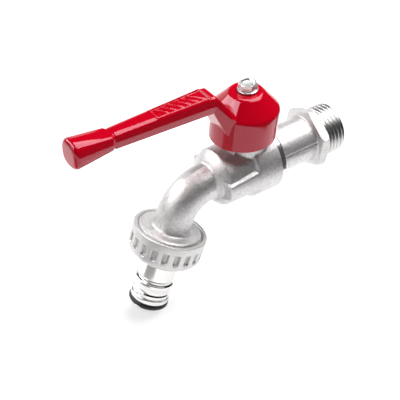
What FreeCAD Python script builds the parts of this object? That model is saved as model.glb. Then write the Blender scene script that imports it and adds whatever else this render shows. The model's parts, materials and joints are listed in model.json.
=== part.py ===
import FreeCAD, Part
import math
import os

from FreeCAD import Placement, Rotation, Vector

# Garden ball tap: a forged brass ball valve with a screwed-in male inlet, a curved spout,
# a cranked die-cast lever and a union nut that holds a quick-connect hose nozzle.
# Millimetres. The origin is the centre of the inlet's end face, +X runs with the water
# through the body and +Z points up the stem to the lever. The tap is open: the lever lies
# over the spout. Each function builds its piece in the valve frame, whose origin is the
# ball's centre, and main() moves every piece along X to the frame of the part.

# Layout
stem_from_inlet = 44.7
nozzle_tilt = 20.0
nozzle_reach = 36.0
nozzle_drop = 16.3
bend_radius = 16.5

# Running and seating clearances
turn_gap = 0.05
flange_gap = 0.2
stop_gap_deg = 1.0
seat_gap = 0.10
face_gap = 0.05

# Forged body
barrel_r = 13.4
barrel_inlet_end = 12.0
barrel_chamfer = 1.1
barrel_outlet_end = 3.5
barrel_step = 1.8
barrel_step_round = 0.55
barrel_step_drop = 0.3
chamber_shell_r = 12.0
chamber_shell_end = 18.9
chamber_shell_low_r = 7.9
pad_end = 16.0
pad_inset = 0.15
pad_half_height = 3.0
pad_taper = 1.3
pad_draft = 1.6
neck_r = 8.8
neck_top = 19.0
stop_lug_r = 10.2
stop_lug_half_angle = 28.0
spout_r = 7.6
spout_bore_r = 5.2
outlet_thread_r = 13.22
outlet_face_rise = 0.5
outlet_face_chamfer = 0.85
spout_foot_round = 0.8
stop_lug_root = 8.5

# Ball, seats and the ball's chamber
ball_r = 8.5
ball_bore_r = 5.0
seat_inner_r = 5.3
seat_near = 5.0
seat_far = 8.4
chamber_r = 9.0
slot_floor = 5.9
slot_width = 4.0

# Inlet connector
inlet_thread_r = 10.48
inlet_thread_length = 10.4
inlet_thread_chamfer = 0.3
thread_relief_r = 9.3
thread_relief_length = 0.5
inlet_bore_r = 7.4
inlet_bore_length = 14.0
hex_flats = 23.0
hex_thickness = 3.9
hex_turn = 23.0
hex_corner_r = 12.75
connector_neck_r = 9.41
joint_thread_r = 10.4
connector_inner_end = 6.5
gasket_thickness = 0.6

# Stem and its seals
stem_r = 4.0
flange_r = 5.6
flange_bottom = 8.9
flange_thickness = 1.5
tongue_r = 4.8
washer_thickness = 0.8
oring_section = 1.3
oring_squeeze = 0.8
oring_height = 13.0
stem_oring_sides = 8
packing_floor = 14.6
packing_r = 5.95
packing_thickness = 1.2
packing_count = 2
gland_hex_flats = 11.0
gland_hex_height = 1.9
gland_hex_corner_r = 5.95
gland_rise = 0.3
square_flats = 5.6
square_bottom = 21.4
square_top = 32.0
screw_hole_r = 2.0

# Lever: its hub leans back, and its bar is a swept ring with nearly flat sides
hub_lean = 6.0
hub_foot_x = 1.9
hub_foot_z = 16.0
skirt_bottom = 16.2
skirt_bottom_r = barrel_r - 0.25
skirt_top_r = barrel_r - 0.1
skirt_length = 11.4
hub_top = 35.0
hub_top_r = 6.7
hub_wall = 1.7
hub_cone_share = 0.4
hub_boss_inset = 0.5
key_top_gap = 0.2
stop_ring_r = 9.2
stop_ring_height = 3.2
hub_boss_r = 5.3
boss_gap = 0.5
swing = 90.0
lever_top = 41.6
knee_top_x = 17.4
knee_bottom_x = 18.7
knee_drop = 0.5
knee_length = 2.0
bar_start_bottom = 34.15
bar_end_bottom = 34.95
bar_start_half_width = 4.85
bar_end_half_width = 3.55
crank_top_x = 10.1
crank_top_z = 29.5
crank_bottom_x = 13.0
crank_bottom_z = 22.3
crank_half_width = 8.4
crank_bury = 0.3
bar_powers = (3.0, 8.0)
grip_powers = (2.8, 2.8)
ring_points = 24
waist_x = 60.4
grip_start = 61.7
grip_start_half_width = 4.3
grip_start_half_height = 3.15
grip_end = 77.6
grip_mid_height = 38.35
grip_half_width = 5.4
grip_half_height = 5.65
grip_edge_round = 1.4
panel_start = 20.6
panel_end = 42.6
panel_margin = 1.3
panel_depth = 0.4

# Handle screw
screw_flange_r = 4.07
screw_flange_height = 1.0
screw_flange_edge = 0.15
screw_flange_slope = 0.35
screw_flange_slope_r = 0.45
screw_hex_flats = 6.5
screw_hex_height = 2.7
screw_hex_turn = 15.0
screw_hex_rise = 0.2
screw_dimple_r = 2.8
screw_dimple_slope = 0.6
screw_dimple_depth = 0.5
screw_shank_r = 1.95
screw_length = 12.0
screw_end_chamfer = 0.4
screw_end_gap = 0.5
screw_hole_gap = 0.2

# Union nut
nut_height = 11.8
nut_r = 15.05
nut_low_r = 14.85
nut_foot_r = 12.95
nut_foot_chamfer = 1.3
nut_floor = 1.6
nut_rim_chamfer = 0.35
nut_bore_chamfer = 0.1
nut_shoulder_at = 9.4
nut_shoulder = 0.2
nut_shoulder_drop = 0.4
nut_waist_drop = 0.6
nut_thread_gap = 0.08
nut_hole_gap = 0.1
flute_count = 20
flute_width = 2.9
flute_depth = 0.8
flute_start = 3.2
flute_end = 8.6

# Hose washer and nozzle
washer_hose_thickness = 1.8
washer_hose_inner_r = 5.6
washer_hose_gap = 0.2
nozzle_flange_thickness = 1.6
nozzle_flange_r = 12.3
nozzle_bore_r = 5.2
nozzle_r = 7.95
nozzle_taper = 0.15
stop_groove = (21.7, 22.3, 22.9, 23.3)
stop_groove_r = 7.2
stop_collar = (23.7, 24.9)
stop_collar_r = 8.0
stop_collar_round = 0.2
catch_groove_at = 28.0
catch_groove_r = 7.4
catch_groove_sag = (1.6, 0.15)
guide_start = 28.3
guide_r = 7.9
guide_groove = (29.95, 30.15, 31.25, 31.35)
oring_at = 33.8
oring_groove_gap = 0.05
nozzle_oring_section = 2.4
nozzle_oring_outer_r = 8.3
nipple_oring_sides = 12
nozzle_nose_r = 7.4
nozzle_nose_at = 36.2
nozzle_nose_low_r = 7.0
nozzle_end = 37.0
nozzle_end_r = 6.4

tilt = math.radians(nozzle_tilt)
nozzle_down = Vector(math.sin(tilt), 0, -math.cos(tilt))
nut_rim = Vector(nozzle_reach, 0, -nozzle_drop)
along_nozzle = Placement(nut_rim, Rotation(Vector(1, 0, 0), nozzle_down))
up_stem = Placement(Vector(0, 0, 0), Rotation(Vector(1, 0, 0), Vector(0, 0, 1)))
along_body = Placement()

# Where the bend starts on the body's axis and how far it runs down the nozzle's axis
axes_cross = nozzle_reach - nozzle_drop * math.tan(tilt)
bend_tangent = bend_radius * math.tan((math.pi / 2 - tilt) / 2)
bend_start = axes_cross - bend_tangent
bend_end = bend_tangent - nozzle_drop / math.cos(tilt)

# The stack inside the union nut, measured down the nozzle's axis from the nut's rim
nut_floor_top = nut_height - nut_floor
nozzle_flange_top = nut_floor_top - nozzle_flange_thickness
outlet_end = nozzle_flange_top - washer_hose_thickness

inlet_end = -stem_from_inlet


def turned(profile, place):
    """Solid of revolution from (station, radius) points round the placement's X axis.

    An item ("arc", mid, end) bends through mid to end instead of running straight."""
    def at(point):
        return Vector(point[0], 0, point[1])
    edges = []
    here = profile[0]
    for step in list(profile[1:]) + [profile[0]]:
        if step[0] == "arc":
            edges.append(Part.Arc(at(here), at(step[1]), at(step[2])).toShape())
            here = step[2]
        elif at(step).distanceToPoint(at(here)) > 1e-6:
            edges.append(Part.makeLine(at(here), at(step)))
            here = step
    face = Part.Face(Part.Wire(edges))
    solid = face.revolve(Vector(0, 0, 0), Vector(1, 0, 0), 360)
    solid.Placement = place
    return solid


def rod(start, end, radius, place):
    """Plain cylinder between two stations on the placement's X axis."""
    return turned([(start, 0), (start, radius), (end, radius), (end, 0)], place)


def ring(start, end, inner, outer, place):
    """Flat-ended ring between two stations on the placement's X axis."""
    return turned([(start, inner), (start, outer), (end, outer), (end, inner)], place)


def prism(flats, sides, start, end, turn, place):
    """Regular prism across flats, between two stations, its first corner turned from +Y to +Z."""
    corner = flats / 2 / math.cos(math.pi / sides)
    points = []
    for i in range(sides + 1):
        angle = math.radians(turn + 360 / sides * i)
        points.append(Vector(start, corner * math.cos(angle), corner * math.sin(angle)))
    solid = Part.Face(Part.makePolygon(points)).extrude(Vector(end - start, 0, 0))
    solid.Placement = place
    return solid


def chamfered_hex(flats, start, end, turn, corner_r, place):
    """Hexagon whose corners are turned down by a 30 degree cone at both ends."""
    corner = flats / 2 / math.cos(math.pi / 6)
    drop = (corner - corner_r) * 2 * math.tan(math.radians(30))
    cone = turned([(start, 0), (start, corner_r), (start + drop, corner + 0.1),
                   (end - drop, corner + 0.1), (end, corner_r), (end, 0)], place)
    return prism(flats, 6, start, end, turn, place).common(cone)


def sector(inner, outer, bottom, top, from_deg, to_deg):
    """Part of an upright ring round the stem between two angles, measured from +X to +Y."""
    span = to_deg - from_deg
    a, b = Vector(inner, 0, bottom), Vector(outer, 0, bottom)
    c, d = Vector(outer, 0, top), Vector(inner, 0, top)
    face = Part.Face(Part.makePolygon([a, b, c, d, a]))
    solid = face.revolve(Vector(0, 0, 0), Vector(0, 0, 1), span)
    solid.rotate(Vector(0, 0, 0), Vector(0, 0, 1), from_deg)
    return solid


def curved_tube(radius, from_x, to_station):
    """Solid along the spout's centre line: straight, one bend, then down the nozzle's axis."""
    start = rod(from_x, bend_start, radius, along_body)
    disc = Part.Face(Part.Wire(Part.makeCircle(radius, Vector(bend_start, 0, 0), Vector(1, 0, 0))))
    bend = disc.revolve(Vector(bend_start, 0, -bend_radius), Vector(0, 1, 0), 90 - nozzle_tilt)
    drop = rod(bend_end, to_station, radius, along_nozzle)
    return start.fuse([bend, drop])


def valve_body():
    dome_depth = chamber_shell_r - chamber_shell_low_r
    dome_start = chamber_shell_end - dome_depth
    dome_centre = (chamber_shell_end + dome_start - (chamber_shell_r ** 2 - chamber_shell_low_r ** 2)
                   / dome_depth) / 2
    dome_r = math.hypot(dome_start - dome_centre, chamber_shell_r)
    dome_turn = (math.atan2(chamber_shell_r, dome_start - dome_centre)
                 + math.atan2(chamber_shell_low_r, chamber_shell_end - dome_centre)) / 2
    outside = turned([
        (-barrel_inlet_end, 0),
        (-barrel_inlet_end, barrel_r - barrel_chamfer),
        (barrel_chamfer - barrel_inlet_end, barrel_r),
        (barrel_outlet_end - barrel_step, barrel_r),
        (barrel_outlet_end - barrel_step + barrel_step_round, barrel_r - barrel_step_drop),
        (barrel_outlet_end - barrel_step_round, chamber_shell_r + barrel_step_drop),
        (barrel_outlet_end, chamber_shell_r), (dome_start, chamber_shell_r),
        ("arc", (dome_centre + dome_r * math.cos(dome_turn), dome_r * math.sin(dome_turn)),
         (chamber_shell_end, chamber_shell_low_r)),
        (chamber_shell_end, 0)], along_body)
    # Forged pads on both sides, with draft on their long edges and on their end
    pads = []
    for side in (-1, 1):
        rings = []
        for y, spread in ((side * neck_r, pad_draft), (side * barrel_r, 0)):
            high = pad_half_height + pad_taper + spread
            low = high - pad_taper * (pad_end + spread) / pad_end
            rings.append([Vector(0, y, -high), Vector(pad_end + spread, y, -low),
                          Vector(pad_end + spread, y, low), Vector(0, y, high), Vector(0, y, -high)])
        faces = [Part.Face(Part.makePolygon(ring)) for ring in rings]
        for (a, b), (d, c) in zip(zip(rings[0], rings[0][1:]), zip(rings[1], rings[1][1:])):
            faces.append(Part.Face(Part.makePolygon([a, b, c, d, a])))
        pads.append(Part.makeSolid(Part.makeShell(faces)))
    reach = rod(0, pad_end + pad_draft, barrel_r - pad_inset, along_body)
    neck = rod(0, neck_top, neck_r, up_stem)
    lug = sector(neck_r - 1, stop_lug_r, stop_lug_root, neck_top, -stop_lug_half_angle, stop_lug_half_angle)
    chamfer = outlet_face_chamfer
    face = -outlet_face_rise
    boss = turned([
        (face, 0), (face, outlet_thread_r - chamfer), (face + chamfer, outlet_thread_r),
        (outlet_end - chamfer, outlet_thread_r), (outlet_end, outlet_thread_r - chamfer), (outlet_end, 0)],
        along_nozzle)
    fillet = spout_foot_round
    foot = turned([(face - fillet, 0), (face - fillet, spout_r), (face, spout_r + fillet), (face, 0)],
                  along_nozzle)
    spout = curved_tube(spout_r, seat_far, face)
    solid = outside.fuse([pad.common(reach) for pad in pads] + [neck, lug, spout, foot, boss])

    thread_floor = gasket_thickness - connector_inner_end
    chamber = turned([
        (-barrel_inlet_end - 1, 0), (-barrel_inlet_end - 1, joint_thread_r + turn_gap),
        (thread_floor, joint_thread_r + turn_gap), (thread_floor, chamber_r),
        (seat_far + face_gap, chamber_r), (seat_far + face_gap, 0)], along_body)
    waterway = curved_tube(spout_bore_r, seat_far, outlet_end + 1)
    flange_seat = flange_bottom + flange_thickness + washer_thickness + face_gap
    stem_way = turned([
        (0, 0), (0, flange_r + flange_gap), (flange_seat, flange_r + flange_gap), (flange_seat, stem_r + turn_gap),
        (packing_floor, stem_r + turn_gap), (packing_floor, packing_r), (neck_top + 1, packing_r),
        (neck_top + 1, 0)], up_stem)
    return solid.cut(chamber).cut(waterway).cut(stem_way).removeSplitter()


def inlet_connector():
    thread_end = inlet_end + inlet_thread_length
    hex_start = thread_end
    hex_end = hex_start + hex_thickness
    hex_middle = (hex_start + hex_end) / 2
    bore_step = inlet_bore_r - spout_bore_r
    inner_end = -connector_inner_end
    pocket = -(seat_far + face_gap)
    shape = turned([
        (inlet_end, inlet_bore_r), (inlet_end, inlet_thread_r - inlet_thread_chamfer),
        (inlet_end + inlet_thread_chamfer, inlet_thread_r), (thread_end - thread_relief_length, inlet_thread_r),
        (thread_end - thread_relief_length, thread_relief_r), (hex_middle, thread_relief_r),
        (hex_middle, connector_neck_r), (-barrel_inlet_end, connector_neck_r),
        (-barrel_inlet_end, joint_thread_r), (inner_end, joint_thread_r),
        (inner_end, chamber_r - seat_gap / 2), (pocket, chamber_r - seat_gap / 2),
        (pocket, spout_bore_r), (inlet_end + inlet_bore_length + bore_step, spout_bore_r),
        (inlet_end + inlet_bore_length, inlet_bore_r)], along_body)
    nut = chamfered_hex(hex_flats, hex_start, hex_end, hex_turn, hex_corner_r, along_body)
    nut = nut.cut(rod(hex_start - 1, hex_end + 1, (inlet_bore_r + thread_relief_r) / 2, along_body))
    return shape.fuse(nut).removeSplitter()


def body_gasket():
    end = -connector_inner_end
    return ring(end, end + gasket_thickness, chamber_r + seat_gap, joint_thread_r, along_body)


def ball():
    solid = Part.makeSphere(ball_r)
    solid = solid.cut(rod(-ball_r - 1, ball_r + 1, ball_bore_r, along_body))
    slot = Part.makeBox(slot_width, 4 * ball_r, ball_r, Vector(-slot_width / 2, -2 * ball_r, slot_floor))
    return solid.cut(slot)


def seat_ring(side):
    """PTFE seat on one side of the ball: -1 is the inlet's, 1 is the outlet's."""
    near, far = side * seat_near, side * seat_far
    blank = ring(min(near, far), max(near, far), seat_inner_r, chamber_r - seat_gap, along_body)
    return blank.cut(Part.makeSphere(ball_r + turn_gap))


def stem():
    flange_top = flange_bottom + flange_thickness
    groove = oring_section / 2 + turn_gap
    groove_r = stem_r - oring_section * oring_squeeze
    turned_part = turned([
        (flange_bottom, 0), (flange_bottom, flange_r), (flange_top, flange_r), (flange_top, stem_r),
        (oring_height - groove, stem_r), (oring_height - groove, groove_r), (oring_height + groove, groove_r),
        (oring_height + groove, stem_r), (square_bottom, stem_r), (square_bottom, 0)], up_stem)
    tongue_bottom = slot_floor + turn_gap
    tongue_width = slot_width - 2 * turn_gap
    tongue = Part.makeBox(tongue_width, 2 * flange_r, flange_bottom - tongue_bottom,
                          Vector(-tongue_width / 2, -flange_r, tongue_bottom))
    tongue = tongue.common(rod(tongue_bottom, flange_bottom, tongue_r, up_stem))
    square = Part.makeBox(square_flats, square_flats, square_top - square_bottom,
                          Vector(-square_flats / 2, -square_flats / 2, square_bottom))
    square = square.common(rod(square_bottom, square_top, stem_r, up_stem))
    solid = turned_part.fuse([tongue, square])
    hole_bottom = hub_top - screw_length - screw_end_gap
    return solid.cut(rod(hole_bottom, square_top + 1, screw_hole_r, up_stem)).removeSplitter()


def stem_thrust_washer():
    bottom = flange_bottom + flange_thickness
    return ring(bottom, bottom + washer_thickness, stem_r + turn_gap, flange_r, up_stem)


def seal_ring(station, core_r, section, sides, place):
    """Rubber O-ring round the placement's X axis, with a many-sided round section."""
    points = []
    for i in range(sides):
        angle = 2 * math.pi * (i + 0.5) / sides
        points.append((station + section / 2 * math.cos(angle), core_r + section / 2 * math.sin(angle)))
    return turned(points, place)


def stem_oring():
    section = oring_section * oring_squeeze
    return seal_ring(oring_height, stem_r - section / 2, section - turn_gap, stem_oring_sides, up_stem)


def stem_packing(index):
    bottom = packing_floor + index * packing_thickness
    return ring(bottom, bottom + packing_thickness, stem_r + turn_gap, packing_r - face_gap, up_stem)


def gland_nut():
    bottom = packing_floor + packing_count * packing_thickness
    hex_bottom = neck_top + gland_rise
    hexagon = chamfered_hex(gland_hex_flats, hex_bottom, hex_bottom + gland_hex_height, 0,
                            gland_hex_corner_r, up_stem)
    solid = rod(bottom, hex_bottom, packing_r - face_gap, up_stem).fuse(hexagon)
    return solid.cut(rod(bottom - 1, square_bottom + 1, stem_r + turn_gap, up_stem)).removeSplitter()


def hub_skin(inset):
    """Outside of the lever's hub, or its inside when inset by the wall.

    A skirt and a cone round an axis that leans back, cut level at the rim and at the top."""
    lean = math.radians(hub_lean)
    axis = Vector(-math.sin(lean), 0, math.cos(lean))
    place = Placement(Vector(hub_foot_x, 0, hub_foot_z), Rotation(Vector(1, 0, 0), axis))
    cone_length = (hub_top - hub_foot_z) / math.cos(lean) - skirt_length
    shrink = (skirt_top_r - hub_top_r) / cone_length
    cone_foot = skirt_length - hub_cone_share * inset
    foot_r, top_r = skirt_bottom_r - inset, skirt_top_r - inset
    below = -2 * hub_wall
    solid = turned([(below, 0), (below, foot_r), (0, foot_r), (cone_foot, top_r),
                    (cone_foot + top_r / shrink, 0)], place)
    bottom = skirt_bottom - (hub_wall if inset else 0)
    wide = 4 * barrel_r
    return solid.common(Part.makeBox(wide, wide, hub_top - inset - bottom, Vector(-wide / 2, -wide / 2, bottom)))


def lever_ring(top, bottom, half_width, powers):
    """Closed wire across the lever between the (x, z) ends of its upright middle line.

    A superellipse: its first power bends the top and the underside, its second the sides."""
    points = []
    for i in range(ring_points):
        angle = 2 * math.pi * (i + 0.5) / ring_points
        across = math.copysign(abs(math.cos(angle)) ** (2 / powers[0]), math.cos(angle))
        up = math.copysign(abs(math.sin(angle)) ** (2 / powers[1]), math.sin(angle))
        share = (1 + up) / 2
        points.append(Vector(bottom[0] + share * (top[0] - bottom[0]), half_width * across,
                             bottom[1] + share * (top[1] - bottom[1])))
    curve = Part.BSplineCurve()
    curve.interpolate(Points=points, PeriodicFlag=True)
    return Part.Wire(curve.toShape())


def upright_ring(x, middle, half_width, half_height, powers):
    return lever_ring((x, middle + half_height), (x, middle - half_height), half_width, powers)


def lever_bar():
    """Crank and bar, from inside the hub's wall over the knee to the waist before the grip."""
    knee_top, knee_bottom = (knee_top_x, lever_top - knee_drop), (knee_bottom_x, bar_start_bottom)
    buried = []
    for knee, hub in ((knee_top, (crank_top_x, crank_top_z)), (knee_bottom, (crank_bottom_x, crank_bottom_z))):
        buried.append(tuple(h + crank_bury * (h - k) for k, h in zip(knee, hub)))
    foot_width = crank_half_width + crank_bury * (crank_half_width - bar_start_half_width)
    crank = Part.makeLoft([lever_ring(buried[0], buried[1], foot_width, bar_powers),
                           lever_ring(knee_top, knee_bottom, bar_start_half_width, bar_powers)], True, True)
    middle = (lever_top + bar_start_bottom) / 2
    knee_end = knee_bottom_x + knee_length
    rings = [lever_ring(knee_top, knee_bottom, bar_start_half_width, bar_powers),
             upright_ring(knee_end, middle, bar_start_half_width, lever_top - middle, bar_powers),
             upright_ring(waist_x, (lever_top + bar_end_bottom) / 2, bar_end_half_width,
                          (lever_top - bar_end_bottom) / 2, bar_powers)]
    return crank.fuse(Part.makeLoft(rings, True, True))


def lever_grip():
    """Grip that flares out to the lever's end, with a rounded edge round its flat end face."""
    middle = (lever_top + bar_end_bottom) / 2
    full = grip_end - grip_edge_round
    rings = [upright_ring(waist_x - 1, middle, bar_end_half_width, (lever_top - bar_end_bottom) / 2, grip_powers),
             upright_ring(grip_start, middle, grip_start_half_width, grip_start_half_height, grip_powers)]
    for degrees in (0, 45, 90):
        angle = math.radians(degrees)
        inward = grip_edge_round * (1 - math.cos(angle))
        rings.append(upright_ring(full + grip_edge_round * math.sin(angle), grip_mid_height,
                                  grip_half_width - inward, grip_half_height - inward, grip_powers))
    return Part.makeLoft(rings, True, True)


def lever_handle():
    # Hollow skirt with a thick stop ring that leaves room for the lug through the swing
    inside = hub_skin(hub_wall)
    outside = hub_skin(0)
    boss_bottom = neck_top + gland_rise + gland_hex_height + boss_gap
    boss = rod(boss_bottom, hub_top - hub_boss_inset, hub_boss_r, up_stem)
    free = stop_lug_half_angle + stop_gap_deg
    stop = sector(stop_ring_r, 2 * barrel_r, skirt_bottom, skirt_bottom + stop_ring_height,
                  swing + free, 360 - free).common(outside)
    shell = outside.fuse([lever_bar(), lever_grip()]).cut(inside).fuse([boss, stop])
    key = square_flats + 2 * turn_gap
    key_top = square_top + key_top_gap
    square = Part.makeBox(key, key, key_top - boss_bottom + 1, Vector(-key / 2, -key / 2, boss_bottom - 1))
    shell = shell.cut(square).cut(rod(key_top - 1, hub_top + 1, screw_shank_r + screw_hole_gap, up_stem))
    # Shallow panel in the bar's top, in its flatter middle
    narrowing = (bar_start_half_width - bar_end_half_width) / (waist_x - knee_bottom_x)
    wide, narrow = (bar_start_half_width - panel_margin - narrowing * (x - knee_bottom_x)
                    for x in (panel_start, panel_end))
    outline = [(panel_start, -wide), (panel_end, -narrow), (panel_end, narrow), (panel_start, wide),
               (panel_start, -wide)]
    panel = Part.Face(Part.makePolygon([Vector(x, y, lever_top - panel_depth) for x, y in outline]))
    return shell.cut(panel.extrude(Vector(0, 0, 2 * panel_depth))).removeSplitter()


def handle_screw():
    seat = hub_top
    hex_bottom = seat + screw_flange_height
    head_top = hex_bottom + screw_hex_height
    tip = seat - screw_length
    flange = turned([
        (tip, 0), (tip, screw_shank_r - screw_end_chamfer), (tip + screw_end_chamfer, screw_shank_r),
        (seat, screw_shank_r), (seat, screw_flange_r - screw_flange_edge),
        (seat + screw_flange_edge, screw_flange_r), (hex_bottom - screw_flange_slope, screw_flange_r),
        (hex_bottom, screw_flange_r - screw_flange_slope_r), (hex_bottom, 0)], up_stem)
    hexagon = chamfered_hex(screw_hex_flats, hex_bottom - screw_hex_rise, head_top, screw_hex_turn,
                            screw_hex_flats / 2 + screw_hex_rise, up_stem)
    dimple_floor = head_top - screw_dimple_depth
    dimple = turned([
        (dimple_floor, 0), (dimple_floor, screw_dimple_r - screw_dimple_slope), (head_top, screw_dimple_r),
        (head_top + 1, screw_dimple_r), (head_top + 1, 0)], up_stem)
    return flange.fuse(hexagon).cut(dimple).removeSplitter()


def union_nut():
    bore = outlet_thread_r + nut_thread_gap
    hole = nozzle_oring_outer_r + nut_hole_gap
    solid = turned([
        (0, bore + nut_bore_chamfer), (0, nut_r - nut_rim_chamfer), (nut_rim_chamfer, nut_r),
        (flute_start, nut_r), (nut_shoulder_at, nut_low_r),
        (nut_shoulder_at + nut_shoulder, nut_low_r - nut_shoulder_drop),
        (nut_height - nut_foot_chamfer, nut_low_r - nut_waist_drop), (nut_height, nut_foot_r),
        (nut_height, hole), (nut_floor_top, hole), (nut_floor_top, bore), (nut_bore_chamfer, bore)],
        along_nozzle)
    cutters = []
    floor = nut_low_r - flute_depth
    height = nut_r - floor + 1
    half = flute_width / 2
    blank = Part.makeBox(flute_end - half - flute_start, flute_width, height, Vector(flute_start, -half, floor))
    blank = blank.fuse(Part.makeCylinder(half, height, Vector(flute_end - half, 0, floor), Vector(0, 0, 1)))
    for i in range(flute_count):
        cutter = blank.copy()
        cutter.rotate(Vector(0, 0, 0), Vector(1, 0, 0), 360 / flute_count * i)
        cutter.Placement = along_nozzle.multiply(cutter.Placement)
        cutters.append(cutter)
    return solid.cut(cutters).removeSplitter()


def hose_washer():
    return ring(outlet_end, nozzle_flange_top, washer_hose_inner_r, outlet_thread_r - washer_hose_gap, along_nozzle)


def nozzle_nipple():
    groove = nozzle_oring_section / 2 + oring_groove_gap
    groove_floor = nozzle_oring_outer_r - nozzle_oring_section
    sag, sag_rise = catch_groove_sag
    return turned([
        (nozzle_flange_top, nozzle_bore_r), (nozzle_flange_top, nozzle_flange_r),
        (nut_floor_top, nozzle_flange_r), (nut_floor_top, nozzle_r),
        (stop_groove[0], nozzle_r - nozzle_taper), (stop_groove[1], stop_groove_r),
        (stop_groove[2], stop_groove_r), (stop_groove[3], stop_collar_r - stop_collar_round),
        (stop_collar[0], stop_collar_r), (stop_collar[1], stop_collar_r),
        ("arc", (catch_groove_at - sag, catch_groove_r + sag_rise), (catch_groove_at, catch_groove_r)),
        (guide_start, guide_r), (guide_groove[0], guide_r), (guide_groove[1], stop_groove_r),
        (guide_groove[2], stop_groove_r), (guide_groove[3], guide_r),
        (oring_at - groove, guide_r), (oring_at - groove, groove_floor),
        (oring_at + groove, groove_floor), (oring_at + groove, nozzle_nose_r),
        (nozzle_nose_at, nozzle_nose_low_r), (nozzle_end, nozzle_end_r), (nozzle_end, nozzle_bore_r)],
        along_nozzle)


def nipple_oring():
    section = nozzle_oring_section
    return seal_ring(oring_at, nozzle_oring_outer_r - section / 2, section, nipple_oring_sides, along_nozzle)


def main():
    os.makedirs("parts", exist_ok=True)
    pieces = {
        "valve_body": valve_body(),
        "inlet_connector": inlet_connector(),
        "body_gasket": body_gasket(),
        "ball": ball(),
        "seat_ring_inlet": seat_ring(-1),
        "seat_ring_outlet": seat_ring(1),
        "stem": stem(),
        "stem_thrust_washer": stem_thrust_washer(),
        "stem_oring": stem_oring(),
        "gland_nut": gland_nut(),
        "lever_handle": lever_handle(),
        "handle_screw": handle_screw(),
        "union_nut": union_nut(),
        "hose_washer": hose_washer(),
        "nozzle_nipple": nozzle_nipple(),
        "nipple_oring": nipple_oring(),
    }
    for i in range(packing_count):
        pieces["stem_packing_%d" % (i + 1)] = stem_packing(i)
    for name, shape in pieces.items():
        shape.translate(Vector(stem_from_inlet, 0, 0))
        shape.exportStep("parts/%s.step" % name)
        box = shape.BoundBox
        print("%-20s solids %d valid %s volume %.1f box %.1f %.1f %.1f to %.1f %.1f %.1f" % (
            name, len(shape.Solids), shape.isValid(), shape.Volume,
            box.XMin, box.YMin, box.ZMin, box.XMax, box.YMax, box.ZMax))


main()
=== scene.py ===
import json
import math

import bmesh
import bpy
import numpy as np
from bpy.props import FloatProperty, FloatVectorProperty, IntProperty, PointerProperty
from mathutils import Matrix, Vector

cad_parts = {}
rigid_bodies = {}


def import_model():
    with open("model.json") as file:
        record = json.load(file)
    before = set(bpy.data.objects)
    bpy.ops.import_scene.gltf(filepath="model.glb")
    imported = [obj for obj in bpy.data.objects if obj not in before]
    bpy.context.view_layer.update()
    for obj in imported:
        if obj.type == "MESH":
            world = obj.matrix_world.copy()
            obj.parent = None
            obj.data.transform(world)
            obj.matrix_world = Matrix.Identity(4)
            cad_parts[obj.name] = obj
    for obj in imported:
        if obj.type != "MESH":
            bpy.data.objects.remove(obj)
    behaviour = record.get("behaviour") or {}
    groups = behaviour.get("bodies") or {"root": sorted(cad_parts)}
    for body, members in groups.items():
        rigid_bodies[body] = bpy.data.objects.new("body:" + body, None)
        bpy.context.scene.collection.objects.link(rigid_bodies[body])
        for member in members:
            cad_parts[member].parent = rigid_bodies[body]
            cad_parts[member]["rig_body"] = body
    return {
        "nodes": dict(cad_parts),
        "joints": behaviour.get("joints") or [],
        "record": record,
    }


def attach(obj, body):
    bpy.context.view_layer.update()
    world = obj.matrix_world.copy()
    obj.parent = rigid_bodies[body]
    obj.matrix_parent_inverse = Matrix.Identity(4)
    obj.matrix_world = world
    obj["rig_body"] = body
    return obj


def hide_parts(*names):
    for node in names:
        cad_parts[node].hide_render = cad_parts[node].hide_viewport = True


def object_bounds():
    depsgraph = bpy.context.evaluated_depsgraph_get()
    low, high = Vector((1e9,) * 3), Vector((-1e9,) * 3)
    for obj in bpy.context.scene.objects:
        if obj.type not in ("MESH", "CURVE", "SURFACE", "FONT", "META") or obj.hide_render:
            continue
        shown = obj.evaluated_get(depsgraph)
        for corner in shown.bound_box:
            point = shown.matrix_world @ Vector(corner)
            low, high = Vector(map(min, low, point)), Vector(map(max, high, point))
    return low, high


bl_info = {
    "name": "Garden tap",
    "version": (1, 0, 0),
    "blender": (4, 5, 0),
    "location": "View3D > Sidebar > Garden tap",
    "description": "Dresses a garden ball tap with its threads, flutes, roundings, finishes and studio",
    "category": "Object",
}

mm = 0.001
full_turn = 2 * math.pi

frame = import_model()
cad_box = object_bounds()
joints = {joint["name"]: joint for joint in frame["joints"]}
mounts = {mount["name"]: mount for mount in frame["record"]["mounts"]}
slots = {part["node"]: part["material_slot"] for part in frame["record"]["subparts"]}


def rows_of(items, field):
    """A field of three numbers of a mesh's vertices or faces, one row for each."""
    values = np.empty(len(items) * 3, np.float32)
    items.foreach_get(field, values)
    return values.reshape(-1, 3)


class Line:
    """An axis with a sideways direction, on which turned pieces are placed."""

    def __init__(self, origin, along, side):
        self.origin = np.array(origin, float)
        self.along = np.array(along, float) / np.linalg.norm(along)
        side = np.array(side, float) - self.along * (np.array(side, float) @ self.along)
        self.side = side / np.linalg.norm(side)
        self.across = np.cross(self.along, self.side)

    def at(self, station, radius, angle):
        """Point = origin + station x along + radius x (cos angle x side + sin angle x across)."""
        station, radius, angle = np.broadcast_arrays(station, radius, angle)
        out = np.cos(angle)[..., None] * self.side + np.sin(angle)[..., None] * self.across
        return self.origin + station[..., None] * self.along + radius[..., None] * out

    def split(self, points):
        """Station of each point along the line, and its offset at right angles to the line."""
        offset = points - self.origin
        station = offset @ self.along
        return station, offset - station[..., None] * self.along

    def reach(self, node):
        """First station, last station and largest radius of a CAD node about this line."""
        station, out = self.split(rows_of(frame["nodes"][node].data.vertices, "co"))
        return station.min(), station.max(), np.linalg.norm(out, axis=1).max()


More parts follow.
